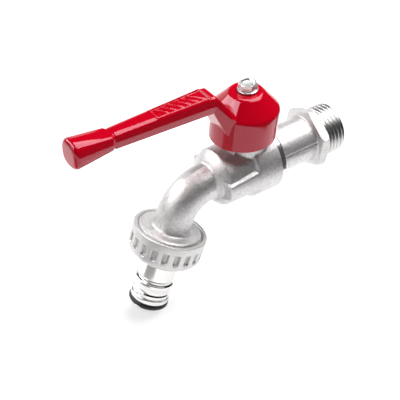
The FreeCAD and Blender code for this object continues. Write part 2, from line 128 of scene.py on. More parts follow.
inlet_line = Line(mounts["inlet_thread"]["pos_m"], (1, 0, 0), (0, 1, 0))
stem_line = Line(joints["handle_turn"]["pos_m"], joints["handle_turn"]["axis"], (1, 0, 0))
nozzle_line = Line(joints["nut_turn"]["pos_m"], joints["nut_turn"]["axis"], (1, 0, 0))
room_line = Line((stem_line.origin[0], stem_line.origin[1], 0), (0, 0, 1), (1, 0, 0))

thread_reach = inlet_line.reach("inlet_connector")
nut_reach = nozzle_line.reach("union_nut")
nozzle_reach = nozzle_line.reach("nozzle_nipple")
oring_reach = nozzle_line.reach("nipple_oring")
screw_reach = stem_line.reach("handle_screw")


def length(label, meaning, default):
    """A length in metres that the sidebar shows in the scene's unit."""
    return FloatProperty(name=label, description=meaning, default=default, unit="LENGTH", precision=5)


def turn_by(label, meaning, degrees):
    """An angle, written here in degrees."""
    return FloatProperty(name=label, description=meaning, default=math.radians(degrees), subtype="ANGLE")


def number(label, meaning, default):
    """A number without a unit."""
    return FloatProperty(name=label, description=meaning, default=default)


def colour(label, meaning, default):
    """A colour that the sidebar shows as a swatch."""
    return FloatVectorProperty(name=label, description=meaning, default=default, subtype="COLOR",
                               min=0.0, max=1.0)


def mount_radius(name):
    """Radius of one of the record's mounts."""
    return mounts[name]["dims"]["r_mm"] * mm


class BodySizes(bpy.types.PropertyGroup):
    """Sizes of the forged body's skin, from the ball's centre."""
    cell: length("Cell", "Cell size of the skin", 0.36 * mm)
    rounds: IntProperty(name="Smoothing", description="Steps of smoothing at the edges", default=6, min=0)
    line_start: length("Parting line", "Distance at which the spout's parting line begins", 17 * mm)
    line_height: length("Line height", "Height of the parting line", 0.16 * mm)
    line_width: length("Line width", "Half width of the parting line", 0.32 * mm)
    band_length: length("Machined band", "Length of the machined band at the inlet", 3.1 * mm)
    neck_radius: length("Neck radius", "Radius inside which the stem's neck is machined", 8.9 * mm)
    neck_start: length("Neck start", "Height above which the stem's neck is machined", 13.9 * mm)


class OutletSizes(bpy.types.PropertyGroup):
    """Sizes of the outlet's thread, which shows when the union nut comes down."""
    pitch: length("Pitch", "Rise of the thread in one turn", 1.814 * mm)
    crest_radius: length("Crest radius", "Radius over the thread's crests", 13.2 * mm)
    thread_depth: length("Thread depth", "Height of the thread from root to crest", 1.1 * mm)
    thread_length: length("Thread length", "Length of the thread, up from the outlet's end", 7.4 * mm)
    lead: length("Lead", "Length over which the thread grows at either end", 0.9 * mm)


class InletSizes(bpy.types.PropertyGroup):
    """Sizes of the inlet connector, along the inlet's axis."""
    crest_radius: length("Crest radius", "Radius over the thread's crests", mount_radius("inlet_thread"))
    bore_radius: length("Bore radius", "Radius of the inlet's bore", mount_radius("inlet_bore"))
    pitch: length("Pitch", "Rise of the thread in one turn, 14 to the inch", 25.4 / 14 * mm)
    thread_depth: length("Thread depth", "Height of the thread from root to crest", 1.16 * mm)
    thread_length: length("Thread length", "Length from the end face to the hexagon", 10.4 * mm)
    lead: length("Lead", "Length over which the thread grows from the end face", 0.9 * mm)
    relief_width: length("Relief width", "Width of the groove behind the thread", 0.9 * mm)
    relief_radius: length("Relief radius", "Radius of the groove behind the thread", 9.3 * mm)
    hex_flats: length("Hexagon flats", "Size across the hexagon's flats", 23.0 * mm)
    hex_thickness: length("Hexagon thickness", "Length of the hexagon", 3.9 * mm)
    hex_corner_radius: length("Chamfer radius", "Radius where the chamfers meet the faces", 12.35 * mm)
    hex_turn: turn_by("Hexagon turn", "Angle of a corner from the side", 23)
    neck_radius: length("Neck radius", "Radius between the hexagon and the body", 9.41 * mm)
    seam_turn: turn_by("Seam turn", "Angle of the seam from the side", 17.5)
    seam_depth: length("Seam depth", "Depth of the forging's seam along the neck", 0.16 * mm)
    seam_width: length("Seam width", "Half width of the forging's seam", 0.28 * mm)
    gap_width: length("Gap width", "Width of the groove in front of the body", 0.6 * mm)
    gap_depth: length("Gap depth", "Depth of the groove in front of the body", 0.7 * mm)


class NutSizes(bpy.types.PropertyGroup):
    """Sizes of the union nut, along the nozzle's axis from the nut's rim."""
    radius: length("Radius", "Largest radius, at the rim", nut_reach[2])
    height: length("Height", "Height from rim to foot", nut_reach[1])
    low_radius: length("Low radius", "Radius at the lower end of the flutes", 14.85 * mm)
    step_drop: length("Step", "How far the foot is set in below the flutes", 0.45 * mm)
    step_at: length("Step place", "Station of the step below the flutes", 9.4 * mm)
    foot_radius: length("Foot radius", "Radius of the foot's flat face", 12.95 * mm)
    foot_start: length("Foot start", "Station where the foot's chamfer begins", 10.6 * mm)
    bore_radius: length("Bore radius", "Radius of the thread's bore", 13.3 * mm)
    floor: length("Floor", "Thickness of the floor that holds the nozzle's flange", 1.6 * mm)
    hole_radius: length("Hole radius", "Radius of the hole for the nozzle", 8.4 * mm)
    flutes: IntProperty(name="Flutes", description="Number of finger flutes", default=20, min=3)
    flute_turn: turn_by("Flute turn", "Angle of the first flute", 2)
    flute_width: length("Flute width", "Width of a flute", 2.9 * mm)
    flute_depth: length("Flute depth", "Depth of a flute", 1.0 * mm)
    flute_start: length("Flute start", "Station of the flutes' straight upper end", 3.2 * mm)
    flute_end: length("Flute end", "Station of the flutes' rounded lower end", 8.6 * mm)
    flute_edge: length("Flute edge", "Width of the rounded edge of a flute", 0.75 * mm)


class NozzleSizes(bpy.types.PropertyGroup):
    """Sizes of the hose nozzle, along its axis from the nut's rim."""
    top: length("Top", "Station of the flange's upper face", nozzle_reach[0])
    tip: length("Tip", "Station of the open end", nozzle_reach[1])
    flange_radius: length("Flange radius", "Radius of the flange in the nut", nozzle_reach[2])
    flange_thickness: length("Flange thickness", "Thickness of the flange in the nut", 1.6 * mm)
    bore_radius: length("Bore radius", "Radius of the waterway", mount_radius("nozzle_bore"))
    barrel_radius: length("Barrel radius", "Radius below the nut", 7.95 * mm)
    groove_at: length("Groove place", "Station of the groove below the barrel", 22.6 * mm)
    groove_radius: length("Groove radius", "Radius of the narrow grooves", 7.15 * mm)
    catch_at: length("Catch place", "Station of the step that a connector's claws catch on", 28.0 * mm)
    catch_radius: length("Catch radius", "Radius of the hollow for a connector's claws", 7.4 * mm)
    collar_radius: length("Collar radius", "Radius of the guide collars", 7.9 * mm)
    tip_radius: length("Tip radius", "Radius of the end face", 6.5 * mm)
    ring_section: length("O-ring section", "Thickness of the O-ring", 2.4 * mm)


class LeverSizes(bpy.types.PropertyGroup):
    """Sizes of the cast lever, from the ball's centre."""
    lean: turn_by("Hub lean", "Angle by which the hub's axis leans back", 6)
    foot_x: length("Hub foot", "Distance towards the spout at which the hub's axis starts", 1.9 * mm)
    foot_z: length("Foot height", "Height at which the hub's axis starts", 16.0 * mm)
    rim: length("Rim height", "Height of the hub's level rim", 16.2 * mm)
    top: length("Hub top", "Height of the hub's level top", 35.3 * mm)
    top_round: length("Top rounding", "How far the rounding of the hub's top reaches in", 0.95 * mm)
    skirt_radius: length("Skirt radius", "Radius at the foot of the skirt", 13.15 * mm)
    shoulder_radius: length("Shoulder radius", "Radius where the skirt meets the cone", 13.3 * mm)
    shoulder: length("Shoulder", "Length of the skirt along its leaning axis", 12.5 * mm)
    shoulder_rise: length("Shoulder rise", "How much longer the skirt is at the back", 0.9 * mm)
    cone_radius: length("Cone radius", "Radius at the hub's top", 6.7 * mm)
    wall: length("Wall", "Thickness of the hub's wall", 1.7 * mm)
    hole_radius: length("Hole radius", "Radius of the screw's hole", 2.2 * mm)
    bar_top: length("Bar top", "Height of the bar's top", 41.6 * mm)
    bar_start_bottom: length("Knee underside", "Height of the bar's underside at the knee", 34.15 * mm)
    bar_end_bottom: length("Waist underside", "Height of the bar's underside at the waist", 34.95 * mm)
    bar_start_width: length("Half width at the knee", "Half of the bar's width at the knee", 4.85 * mm)
    bar_end_width: length("Half width at the waist", "Half of the bar's width at the waist", 3.55 * mm)
    waist: length("Waist", "Distance of the waist before the grip", 60.4 * mm)
    grip_start: length("Grip start", "Distance at which the grip begins", 61.7 * mm)
    grip_end: length("Grip end", "Distance of the grip's end face", 77.6 * mm)
    grip_middle: length("Grip height", "Height of the middle of the grip's end", 38.35 * mm)
    grip_width: length("Half grip width", "Half of the width at the grip's end", 5.4 * mm)
    grip_height: length("Half grip height", "Half of the height at the grip's end", 5.65 * mm)
    grip_round: length("Grip rounding", "Radius of the edge round the end face", 1.8 * mm)
    panel_start: length("Panel start", "Distance at which the sunk panel begins", 20.6 * mm)
    panel_end: length("Panel end", "Distance at which the sunk panel ends", 42.6 * mm)
    panel_margin: length("Panel margin", "Width of the rim beside the panel", 1.45 * mm)
    panel_depth: length("Panel depth", "Depth of the sunk panel", 0.45 * mm)


class Finishes(bpy.types.PropertyGroup):
    """Colours of the finishes."""
    red: colour("Lever red", "Gloss coating of the lever", (0.67, 0.001, 0.016))
    blasted: colour("Blasted plating", "Satin plating of the forged body", (0.83, 0.815, 0.815))
    bright: colour("Bright plating", "Polished plating of the nozzle and connector", (0.74, 0.73, 0.725))
    thread: colour("Cut thread", "Plating of the inlet's thread", (0.66, 0.65, 0.645))
    satin: colour("Satin plating", "Grey plating of the union nut", (0.78, 0.77, 0.765))
    # Painted shade: a darker plating on the sunk floors of the nut's flutes, where shade falls
    flute: colour("Flutes", "Painted shade in the union nut's flutes", (0.60, 0.59, 0.585))
    zinc: colour("Zinc", "Zinc plating of the screw", (0.72, 0.72, 0.72))
    brass: colour("Brass", "Bare brass of the stem and gland nut", (0.75, 0.55, 0.27))
    rubber: colour("Rubber", "Black rubber of the seals", (0.012, 0.012, 0.013))
    ptfe: colour("PTFE", "White plastic of the seats and packing", (0.85, 0.85, 0.83))
    fibre: colour("Fibre", "Pressed fibre of the body's gasket", (0.40, 0.06, 0.04))


class StageSizes(bpy.types.PropertyGroup):
    """The studio and the camera, whose place is solved from the photograph."""
    azimuth: turn_by("Azimuth", "Camera's angle round the tap", 144.5)
    elevation: turn_by("Elevation", "Camera's angle above the horizon", 39.98)
    roll: turn_by("Roll", "Camera's turn about its own axis", 0.29)
    distance: length("Distance", "Depth of the ball's centre in front of the camera", 410.8 * mm)
    right: length("Right", "How far the ball's centre lies right of the picture's middle", 17.9 * mm)
    rise: length("Rise", "How far the ball's centre lies above the picture's middle", 14.6 * mm)
    lens: number("Lens", "Focal length on a 36 mm sensor", 92.3)
    floor_lift: number("Floor lift", "White added to the floor for the camera", 0.6)
    mirror_lift: number("Mirror lift", "White added to the floor in reflections", 0.66)
    world_level: number("World level", "Grey of the surroundings' own light", 0.06)
    card_near: length("Card distance", "Distance of the low dark card's edge from the tap", 0.114)
    card_turn: turn_by("Card turn", "Direction of the low dark card from the tap", 130)
    backdrop: length("Backdrop", "Height of the pale backdrop behind the tap", 0.42)
    backdrop_turn: turn_by("Backdrop turn", "Direction of the pale backdrop from the tap", -112)


settings = {
    "tap_body": BodySizes,
    "tap_outlet": OutletSizes,
    "tap_inlet": InletSizes,
    "tap_nut": NutSizes,
    "tap_nozzle": NozzleSizes,
    "tap_lever": LeverSizes,
    "tap_finishes": Finishes,
    "tap_stage": StageSizes,
}


# Meshes

def add_grid(vertices, quads, points, wrap_rows=False, wrap_columns=True):
    """Adds a grid of points, rows x columns, and the quads between neighbours."""
    rows, columns = points.shape[:2]
    index = np.arange(rows * columns).reshape(rows, columns) + sum(len(v) for v in vertices)
    if wrap_rows:
        index = np.vstack([index, index[:1]])
    if wrap_columns:
        index = np.hstack([index, index[:, :1]])
    corners = index[:-1, :-1], index[1:, :-1], index[1:, 1:], index[:-1, 1:]
    vertices.append(points.reshape(-1, 3))
    quads.append(np.stack(corners, -1).reshape(-1, 4))


def mesh_of_grids(name, *grids):
    """One mesh of several grids, with doubles merged at the poles and every face turned outwards."""
    vertices, quads = [], []
    for points, wrap_rows in grids:
        add_grid(vertices, quads, points, wrap_rows)
    vertices = np.concatenate(vertices).astype(np.float32)
    quads = np.concatenate(quads).astype(np.int32)
    mesh = bpy.data.meshes.new(name)
    mesh.vertices.add(len(vertices))
    mesh.vertices.foreach_set("co", vertices.ravel())
    mesh.loops.add(quads.size)
    mesh.loops.foreach_set("vertex_index", quads.ravel())
    mesh.polygons.add(len(quads))
    mesh.polygons.foreach_set("loop_start", np.arange(0, quads.size, 4, dtype=np.int32))
    mesh.update(calc_edges=True)
    return merged(mesh, turn_outwards=True)


def sheet_mesh(name, points):
    """An open sheet from a grid of points."""
    vertices, quads = [], []
    add_grid(vertices, quads, points, wrap_columns=False)
    mesh = bpy.data.meshes.new(name)
    mesh.from_pydata(vertices[0].tolist(), [], quads[0].tolist())
    return mesh


def move_vertices(mesh, points):
    """Puts the mesh's vertices at new points."""
    mesh.vertices.foreach_set("co", points.astype(np.float32).ravel())
    mesh.update()


def merged(mesh, turn_outwards=False):
    """The mesh with coincident points merged, and its faces turned outwards if asked."""
    work = bmesh.new()
    work.from_mesh(mesh)
    bmesh.ops.remove_doubles(work, verts=work.verts, dist=0.001 * mm)
    if turn_outwards:
        bmesh.ops.recalc_face_normals(work, faces=work.faces)
    work.to_mesh(mesh)
    work.free()
    mesh.update()
    return mesh


def piece(name, mesh, node, sharp_from=40, replaces=True):
    """Puts a mesh in the scene on a CAD node's body, with the node's slot and finish. It stands for
    the node, or goes beside a piece that does."""
    mesh.shade_smooth()
    mesh.set_sharp_from_angle(angle=math.radians(sharp_from))
    mesh.materials.clear()
    mesh.materials.append(finish_of(node))
    obj = bpy.data.objects.new(name, mesh)
    bpy.context.scene.collection.objects.link(obj)
    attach(obj, frame["nodes"][node]["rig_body"])
    if replaces:
        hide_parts(node)


def second_finish(mesh, name, where):
    """Gives the faces where the mask holds another finish."""
    mesh.materials.append(finish_of(name))
    mesh.polygons.foreach_set("material_index", where.astype(np.int32))


def rounded_outline(corners, steps=5):
    """Outline through corners (station, radius, rounding) with an arc at each rounded corner.

    The arc is tangent to both sides: it leaves them at rounding x tan(half the turn) from the
    corner, and its points turn about a centre at rounding from both sides."""
    points = [np.array(corners[0][:2], float)]
    for before, here, after in zip(corners, corners[1:], corners[2:]):
        corner = np.array(here[:2], float)
        back = np.array(before[:2], float) - corner
        ahead = np.array(after[:2], float) - corner
        reach_back, reach_ahead = np.linalg.norm(back), np.linalg.norm(ahead)
        back, ahead = back / reach_back, ahead / reach_ahead
        turn = math.pi - math.acos(np.clip(back @ ahead, -1, 1))
        cut = min(here[2] * math.tan(turn / 2), 0.48 * reach_back, 0.48 * reach_ahead)
        if cut < 1e-7:
            points.append(corner)
            continue
        radius = cut / math.tan(turn / 2)
        middle = back + ahead
        centre = corner + middle / np.linalg.norm(middle) * radius / math.cos(turn / 2)
        first = corner + back * cut - centre
        last = corner + ahead * cut - centre
        share = np.linspace(0, 1, steps + 1)[:, None]
        arc = (np.sin((1 - share) * turn) * first + np.sin(share * turn) * last) / math.sin(turn)
        points.extend(centre + arc)
    points.append(np.array(corners[-1][:2], float))
    return np.array(points)


def once_round(columns):
    """Angles of the columns round a line, one full turn without its end."""
    return np.linspace(0, full_turn, columns, endpoint=False)


def turned(line, outline, columns=192):
    """Surface of revolution: each outline point (station, radius) runs once round the line."""
    return line.at(outline[:, :1], outline[:, 1:2], once_round(columns))


def smooth_step(value):
    """0 below 0, 1 above 1, and 3 v^2 - 2 v^3 in between."""
    value = np.clip(value, 0, 1)
    return value * value * (3 - 2 * value)


def softened(name, node, cell, rounds):
    """A merged copy of a CAD node, remade as one skin of small cells and smoothed: every edge and
    crease gets a small radius, as a forging's has."""
    rough = bpy.data.objects.new(name + "_rough", merged(frame["nodes"][node].data.copy()))
    bpy.context.scene.collection.objects.link(rough)
    remesh = rough.modifiers.new("Cells", "REMESH")
    remesh.mode = "VOXEL"
    remesh.voxel_size = cell
    smooth = rough.modifiers.new("Rounding", "SMOOTH")
    smooth.factor = 0.5
    smooth.iterations = rounds
    bpy.context.view_layer.update()
    skin = bpy.data.meshes.new_from_object(rough.evaluated_get(bpy.context.evaluated_depsgraph_get()))
    skin.name = name
    bpy.data.objects.remove(rough)
    return skin


# Shapes

def thread_radius(station, angle, sizes):
    """Radius of a right-hand thread: station / pitch - angle / full turn gives the place in one
    turn, where the radius runs in straight flanks between a rounded root and a rounded crest."""
    place = (station / sizes.pitch - angle / full_turn) % 1.0
    from_root = np.abs(2 * place - 1)
    rounded = 0.12
    rise = smooth_step((from_root - rounded) / (1 - 2 * rounded))
    return sizes.crest_radius - sizes.thread_depth * (1 - rise)


def hexagon_radius(station, angle, sizes, start, end):
    """Radius of a hexagon, flats / 2 / cos(angle from the nearest flat's middle), held inside the
    cones that chamfer its corners at both faces."""
    from_flat = (angle - sizes.hex_turn) % (math.pi / 3) - math.pi / 6
    inside = np.minimum(station - start, end - station)
    cone = sizes.hex_corner_radius + inside * math.tan(math.radians(60))
    return np.minimum(sizes.hex_flats / 2 / np.cos(from_flat), cone)


def connector_mesh(sizes):
    """Inlet connector: thread, relief groove, hexagon and neck as one surface round the axis. The neck
    sinks along its seam by depth x exp(-(arc from the seam / width) ^ 2).

    Stations run along the outside and back through the bore; in the thread and the hexagon the
    radius also depends on the angle."""
    columns = 360
    angle = once_round(columns)
    root = sizes.crest_radius - sizes.thread_depth
    hex_face = sizes.hex_corner_radius - 1 * mm
    gap_floor = sizes.neck_radius - sizes.gap_depth
    hex_start = sizes.thread_length
    hex_end = hex_start + sizes.hex_thickness
    thread_end = hex_start - sizes.relief_width
    gap_end = inlet_line.reach("valve_body")[0]
    gap_start = gap_end - sizes.gap_width

    stations = np.linspace(0, thread_end, 110)[:, None]
    lead_in = root + np.minimum(stations, sizes.lead) / sizes.lead * sizes.thread_depth
    thread = np.minimum(thread_radius(stations, angle, sizes), lead_in)
    groove = rounded_outline([
        (thread_end, root, 0), (thread_end, sizes.relief_radius, 0.15 * mm),
        (hex_start, sizes.relief_radius, 0.15 * mm), (hex_start, hex_face, 0)])
    hex_stations = np.linspace(hex_start, hex_end, 40)[:, None]
    hexagon = hexagon_radius(hex_stations, angle, sizes, hex_start, hex_end)
    neck = rounded_outline([
        (hex_end, hex_face, 0), (hex_end, sizes.neck_radius, 0.9 * mm),
        (gap_start, sizes.neck_radius, 0.3 * mm), (gap_start, gap_floor, 0.1 * mm),
        (gap_end, gap_floor, 0.1 * mm)])
    aside = (angle - sizes.seam_turn + math.pi) % full_turn - math.pi
    seam = sizes.seam_depth * np.exp(-(aside * sizes.neck_radius / sizes.seam_width) ** 2)
    back = rounded_outline([
        (gap_end, gap_floor, 0), (gap_end, sizes.neck_radius, 0),
        (thread_reach[1], sizes.neck_radius, 0), (thread_reach[1], sizes.bore_radius, 0),
        (0, sizes.bore_radius, 0.3 * mm), (0, root - 0.02 * mm, 0)])
    rows = [inlet_line.at(stations, thread, angle), turned(inlet_line, groove, columns),
            inlet_line.at(hex_stations, hexagon, angle),
            inlet_line.at(neck[:, :1], neck[:, 1:2] - seam, angle), turned(inlet_line, back, columns)]
    return mesh_of_grids("inlet_connector_skin", (np.concatenate(rows), True))


def sink_outlet(mesh, sizes):
    """Draws the outlet's wall in to just below the thread's root: radius = the smaller of its own
    and the root's, from the first turn to the outlet's end."""
    station, out = nozzle_line.split(rows_of(mesh.vertices, "co"))
    radius = np.linalg.norm(out, axis=1)
    below_root = sizes.crest_radius - sizes.thread_depth - 0.1 * mm
    first_turn = nozzle_line.reach("valve_body")[1] - sizes.thread_length
    threaded = (station > first_turn) & (radius > below_root)
    out[threaded] *= (below_root / radius[threaded])[:, None]
    move_vertices(mesh, nozzle_line.origin + station[:, None] * nozzle_line.along + out)


def outlet_thread_mesh(sizes, columns=240):
    """Sleeve with the outlet's thread: the thread's radius by station and angle, held under a slope
    at both ends, and back along a plain inside."""
    angle = once_round(columns)
    clear = 0.1 * mm
    root = sizes.crest_radius - sizes.thread_depth
    inside = root - 0.5 * mm
    end = nozzle_line.reach("valve_body")[1] - clear
    start = end - sizes.thread_length + 2 * clear
    stations = np.linspace(start, end, 84)[:, None]
    slope = np.clip(np.minimum(stations - start, end - stations) / sizes.lead, 0, 1)
    outside = np.minimum(thread_radius(stations, angle, sizes), root + slope * sizes.thread_depth)
    rows = [nozzle_line.at(stations, outside, angle),
            turned(nozzle_line, np.array([(end, inside), (start, inside)]), columns)]
    return mesh_of_grids("outlet_thread_skin", (np.concatenate(rows), True))


def nut_wall(station, sizes):
    """Radius of the nut's wall between the flutes, which falls evenly to the low radius at the step."""
    share = (station - sizes.flute_start) / (sizes.step_at - sizes.flute_start)
    return sizes.radius + (sizes.low_radius - sizes.radius) * np.clip(share, 0, 1)


def nut_mesh(sizes):
    """Union nut: a turned ring whose outside sinks into finger flutes.

    A flute is a slot with a square upper and a round lower end; the depth rises from its edge as a
    smooth step of the distance inside the slot."""
    columns = sizes.flutes * 36
    angle = once_round(columns)
    pitch = full_turn / sizes.flutes
    half = sizes.flute_width / 2
    floor = sizes.height - sizes.floor
    set_in = sizes.low_radius - sizes.step_drop
    rim = rounded_outline([
        (0, sizes.bore_radius + 0.33 * mm, 0), (0, sizes.radius, 0.35 * mm),
        (sizes.flute_start - 0.4 * mm, sizes.radius, 0)])
    stations = np.linspace(sizes.flute_start - 0.3 * mm, sizes.step_at - 0.1 * mm, 48)[:, None]
    sideways = ((angle - sizes.flute_turn + pitch / 2) % pitch - pitch / 2) * sizes.radius
    below = np.maximum(stations - (sizes.flute_end - half), 0)
    inside = np.minimum(half - np.hypot(sideways, below), stations - sizes.flute_start)
    fluted = nut_wall(stations, sizes) - sizes.flute_depth * smooth_step(inside / sizes.flute_edge)
    foot = rounded_outline([
        (sizes.step_at, sizes.low_radius, 0), (sizes.step_at + 0.1 * mm, set_in, 0.1 * mm),
        (sizes.foot_start, set_in - 0.2 * mm, 0.4 * mm), (sizes.height, sizes.foot_radius, 0.5 * mm),
        (sizes.height, sizes.hole_radius, 0.3 * mm), (floor, sizes.hole_radius, 0.1 * mm),
        (floor, sizes.bore_radius, 0.2 * mm), (0.4 * mm, sizes.bore_radius, 0),
        (0.03 * mm, sizes.bore_radius + 0.3 * mm, 0)])
    rows = [turned(nozzle_line, rim, columns), nozzle_line.at(stations, fluted, angle),
            turned(nozzle_line, foot, columns)]
    return mesh_of_grids("union_nut_skin", (np.concatenate(rows), True))


def nozzle_mesh(sizes):
    """Hose nozzle: one turned surface from the flange in the nut to the tip and back up the bore."""
    clear = 0.03 * mm
    base = sizes.top + sizes.flange_thickness - clear
    groove, catch, tip = sizes.groove_at, sizes.catch_at, sizes.tip
    barrel, deep, collar = sizes.barrel_radius, sizes.groove_radius, sizes.collar_radius
    ring = (oring_reach[0] + oring_reach[1]) / 2
    half = sizes.ring_section / 2 + 0.05 * mm
    seat = oring_reach[2] - sizes.ring_section
    outline = rounded_outline([
        (base, barrel + 0.4 * mm, 0), (base, barrel, 0),
        (groove - 1.3 * mm, barrel - 0.15 * mm, 0.6 * mm),
        (groove - 0.4 * mm, deep, 0.3 * mm), (groove + 0.4 * mm, deep, 0.3 * mm),
        (groove + 0.9 * mm, collar + 0.1 * mm, 0.4 * mm), (groove + 2.3 * mm, collar + 0.1 * mm, 1.5 * mm),
        (catch - 1.6 * mm, sizes.catch_radius, 4 * mm), (catch, sizes.catch_radius, 0.2 * mm),
        (catch + 0.5 * mm, collar, 0.3 * mm), (catch + 1.7 * mm, collar, 0.25 * mm),
        (catch + 1.8 * mm, deep, 0.1 * mm), (catch + 2.5 * mm, deep, 0.1 * mm),
        (catch + 2.7 * mm, collar, 0.25 * mm), (ring - half, collar, 0.2 * mm),
        (ring - half, seat, 0.1 * mm), (ring + half, seat, 0.1 * mm),
        (ring + half, collar - 0.45 * mm, 0.25 * mm),
        (tip - 0.5 * mm, sizes.tip_radius + 0.35 * mm, 0.6 * mm), (tip, sizes.tip_radius, 0.3 * mm),
        (tip, sizes.bore_radius, 0.25 * mm), (sizes.top, sizes.bore_radius, 0),
        (sizes.top, sizes.flange_radius, 0.2 * mm), (base, sizes.flange_radius, 0.2 * mm),
        (base, barrel + 0.5 * mm, 0)])
    return mesh_of_grids("nozzle_skin", (turned(nozzle_line, outline), True))


def oring_mesh(sizes):
    """O-ring: a torus, a circle of half the section carried round the nozzle's axis."""
    circle = once_round(32)
    half = sizes.ring_section / 2
    station = (oring_reach[0] + oring_reach[1]) / 2 + half * np.cos(circle)
    radius = oring_reach[2] - half + half * np.sin(circle)
    return mesh_of_grids("nozzle_oring_skin", (turned(nozzle_line, np.stack([station, radius], 1)), True))


def screw_mesh():
    """Handle screw: dimpled hexagon head on a rolled flange, over a plain shank. The head rises a
    little above the CAD screw's flat one.

    The head's radius is that of a hexagon held inside a chamfer cone; all else is turned."""
    columns = 240
    angle = once_round(columns)
    tip, cad_top, flange_radius = screw_reach
    top = cad_top + 0.3 * mm
    seat = top - 3.7 * mm
    hexagon_bottom = seat + 1.0 * mm
    shank, dimple = 1.95 * mm, 2.65 * mm
    flats, corner_radius, chamfer, head_turn = 6.5 * mm, 3.3 * mm, 1.2, math.radians(15)
    lower = rounded_outline([
        (tip, 0, 0), (tip, shank, 0.4 * mm), (seat, shank, 0.1 * mm),
        (seat, flange_radius - 0.6 * mm, 0.2 * mm), (seat + 0.5 * mm, flange_radius, 0.3 * mm),
        (hexagon_bottom - 0.2 * mm, flange_radius, 0.2 * mm),
        (hexagon_bottom, flange_radius - 0.5 * mm, 0.1 * mm), (hexagon_bottom, shank, 0)])
    stations = np.linspace(hexagon_bottom - 0.05 * mm, top, 24)[:, None]
    from_flat = (angle - head_turn) % (math.pi / 3) - math.pi / 6
    cone = corner_radius + (top - stations) * chamfer
    head = np.minimum(flats / 2 / np.cos(from_flat), cone)
    upper = rounded_outline([
        (top, corner_radius - 0.2 * mm, 0), (top, dimple, 0.3 * mm),
        (top - 0.9 * mm, dimple - 0.6 * mm, 0.4 * mm), (top - 0.9 * mm, 0, 0)])
    rows = [turned(stem_line, lower[:-1], columns), stem_line.at(stations, head, angle),
            turned(stem_line, upper, columns)]
    return mesh_of_grids("handle_screw_skin", (np.concatenate(rows), False))


def lever_section(half_height, half_width, top_inset, bottom_inset, parting, top_round, bottom_round,
                  roundness, bevel):
    """Section of the lever as points (across, up) round its middle, always the same number.

    A polygon with rounded corners: its sides widen from the bevelled top down to the parting line,
    narrow below it, and its straight stretches are shared out evenly. Its points move by the
    roundness towards the superellipse |across| ^ 2.5 + |up| ^ 2.5 = 1 in the same direction."""
    upper, lower, line = half_width - top_inset, half_width - bottom_inset, parting * half_height
    edge = half_height - bevel * math.tan(math.radians(21))
    steps = 8
    points = rounded_outline([
        (half_width, line, 0), (upper, edge, top_round), (upper - bevel, half_height, 0.6 * mm),
        (bevel - upper, half_height, 0.6 * mm), (-upper, edge, top_round), (-half_width, line, 0.1 * mm),
        (-lower, -half_height, bottom_round), (lower, -half_height, bottom_round),
        (half_width, line, 0)], steps)

    # Each of the eight straight stretches between the arcs is shared out in this many parts
    parts = dict(zip(range(0, len(points), steps + 1), (6, 4, 36, 4, 6, 6, 10, 6)))
    place = np.concatenate([np.linspace(i, i + 1, parts.get(i, 1), endpoint=False)
                            for i in range(len(points) - 1)])
    index = np.arange(len(points))
    across, up = np.interp(place, index, points[:, 0]), np.interp(place, index, points[:, 1])
    angle = np.arctan2(up / half_height, across / half_width)
    power = 2.5
    reach = (np.abs(np.cos(angle)) ** power + np.abs(np.sin(angle)) ** power) ** (-1 / power)
    across += roundness * (half_width * reach * np.cos(angle) - across)
    up += roundness * (half_height * reach * np.sin(angle) - up)
    return across, up


def hub_line(sizes):
    """The hub's leaning axis."""
    foot = stem_line.origin + np.array([sizes.foot_x, 0, sizes.foot_z])
    return Line(foot, (-math.sin(sizes.lean), 0, math.cos(sizes.lean)), (1, 0, 0))


def hub_radius(station, angle, sizes, inset=0.0):
    """Radius of the hub's wall: the smaller of a slowly widening skirt and a steep cone, blended by
    the smooth minimum -k log(exp(-skirt / k) + exp(-cone / k)) into a rounded shoulder. The
    shoulder's station rises by its rise x -cos angle. On the cone the inset counts 1.34 times,
    which keeps the wall's thickness square to the slope."""
    shoulder = sizes.shoulder - sizes.shoulder_rise * np.cos(angle)
    cone_length = (sizes.top - sizes.foot_z) / math.cos(sizes.lean) - shoulder
    fall = (sizes.shoulder_radius - sizes.cone_radius) / cone_length
    skirt = sizes.skirt_radius + (sizes.shoulder_radius - sizes.skirt_radius) * station / shoulder
    cone = sizes.shoulder_radius - fall * (station - shoulder) - inset * 0.34
    blend = 0.30 * mm
    least = np.minimum(skirt, cone)
    return least - inset - blend * np.log1p(np.exp(-np.abs(skirt - cone) / blend))


def level_stations(line, angle, height, sizes, inset):
    """Stations at which the hub's wall crosses a level plane, found by repeated substitution."""
    station = np.full_like(angle, (height - line.origin[2]) / line.along[2])
    for _ in range(30):
        lift = hub_radius(station, angle, sizes, inset) * np.cos(angle) * line.side[2]
        station = (height - line.origin[2] - lift) / line.along[2]
    return station


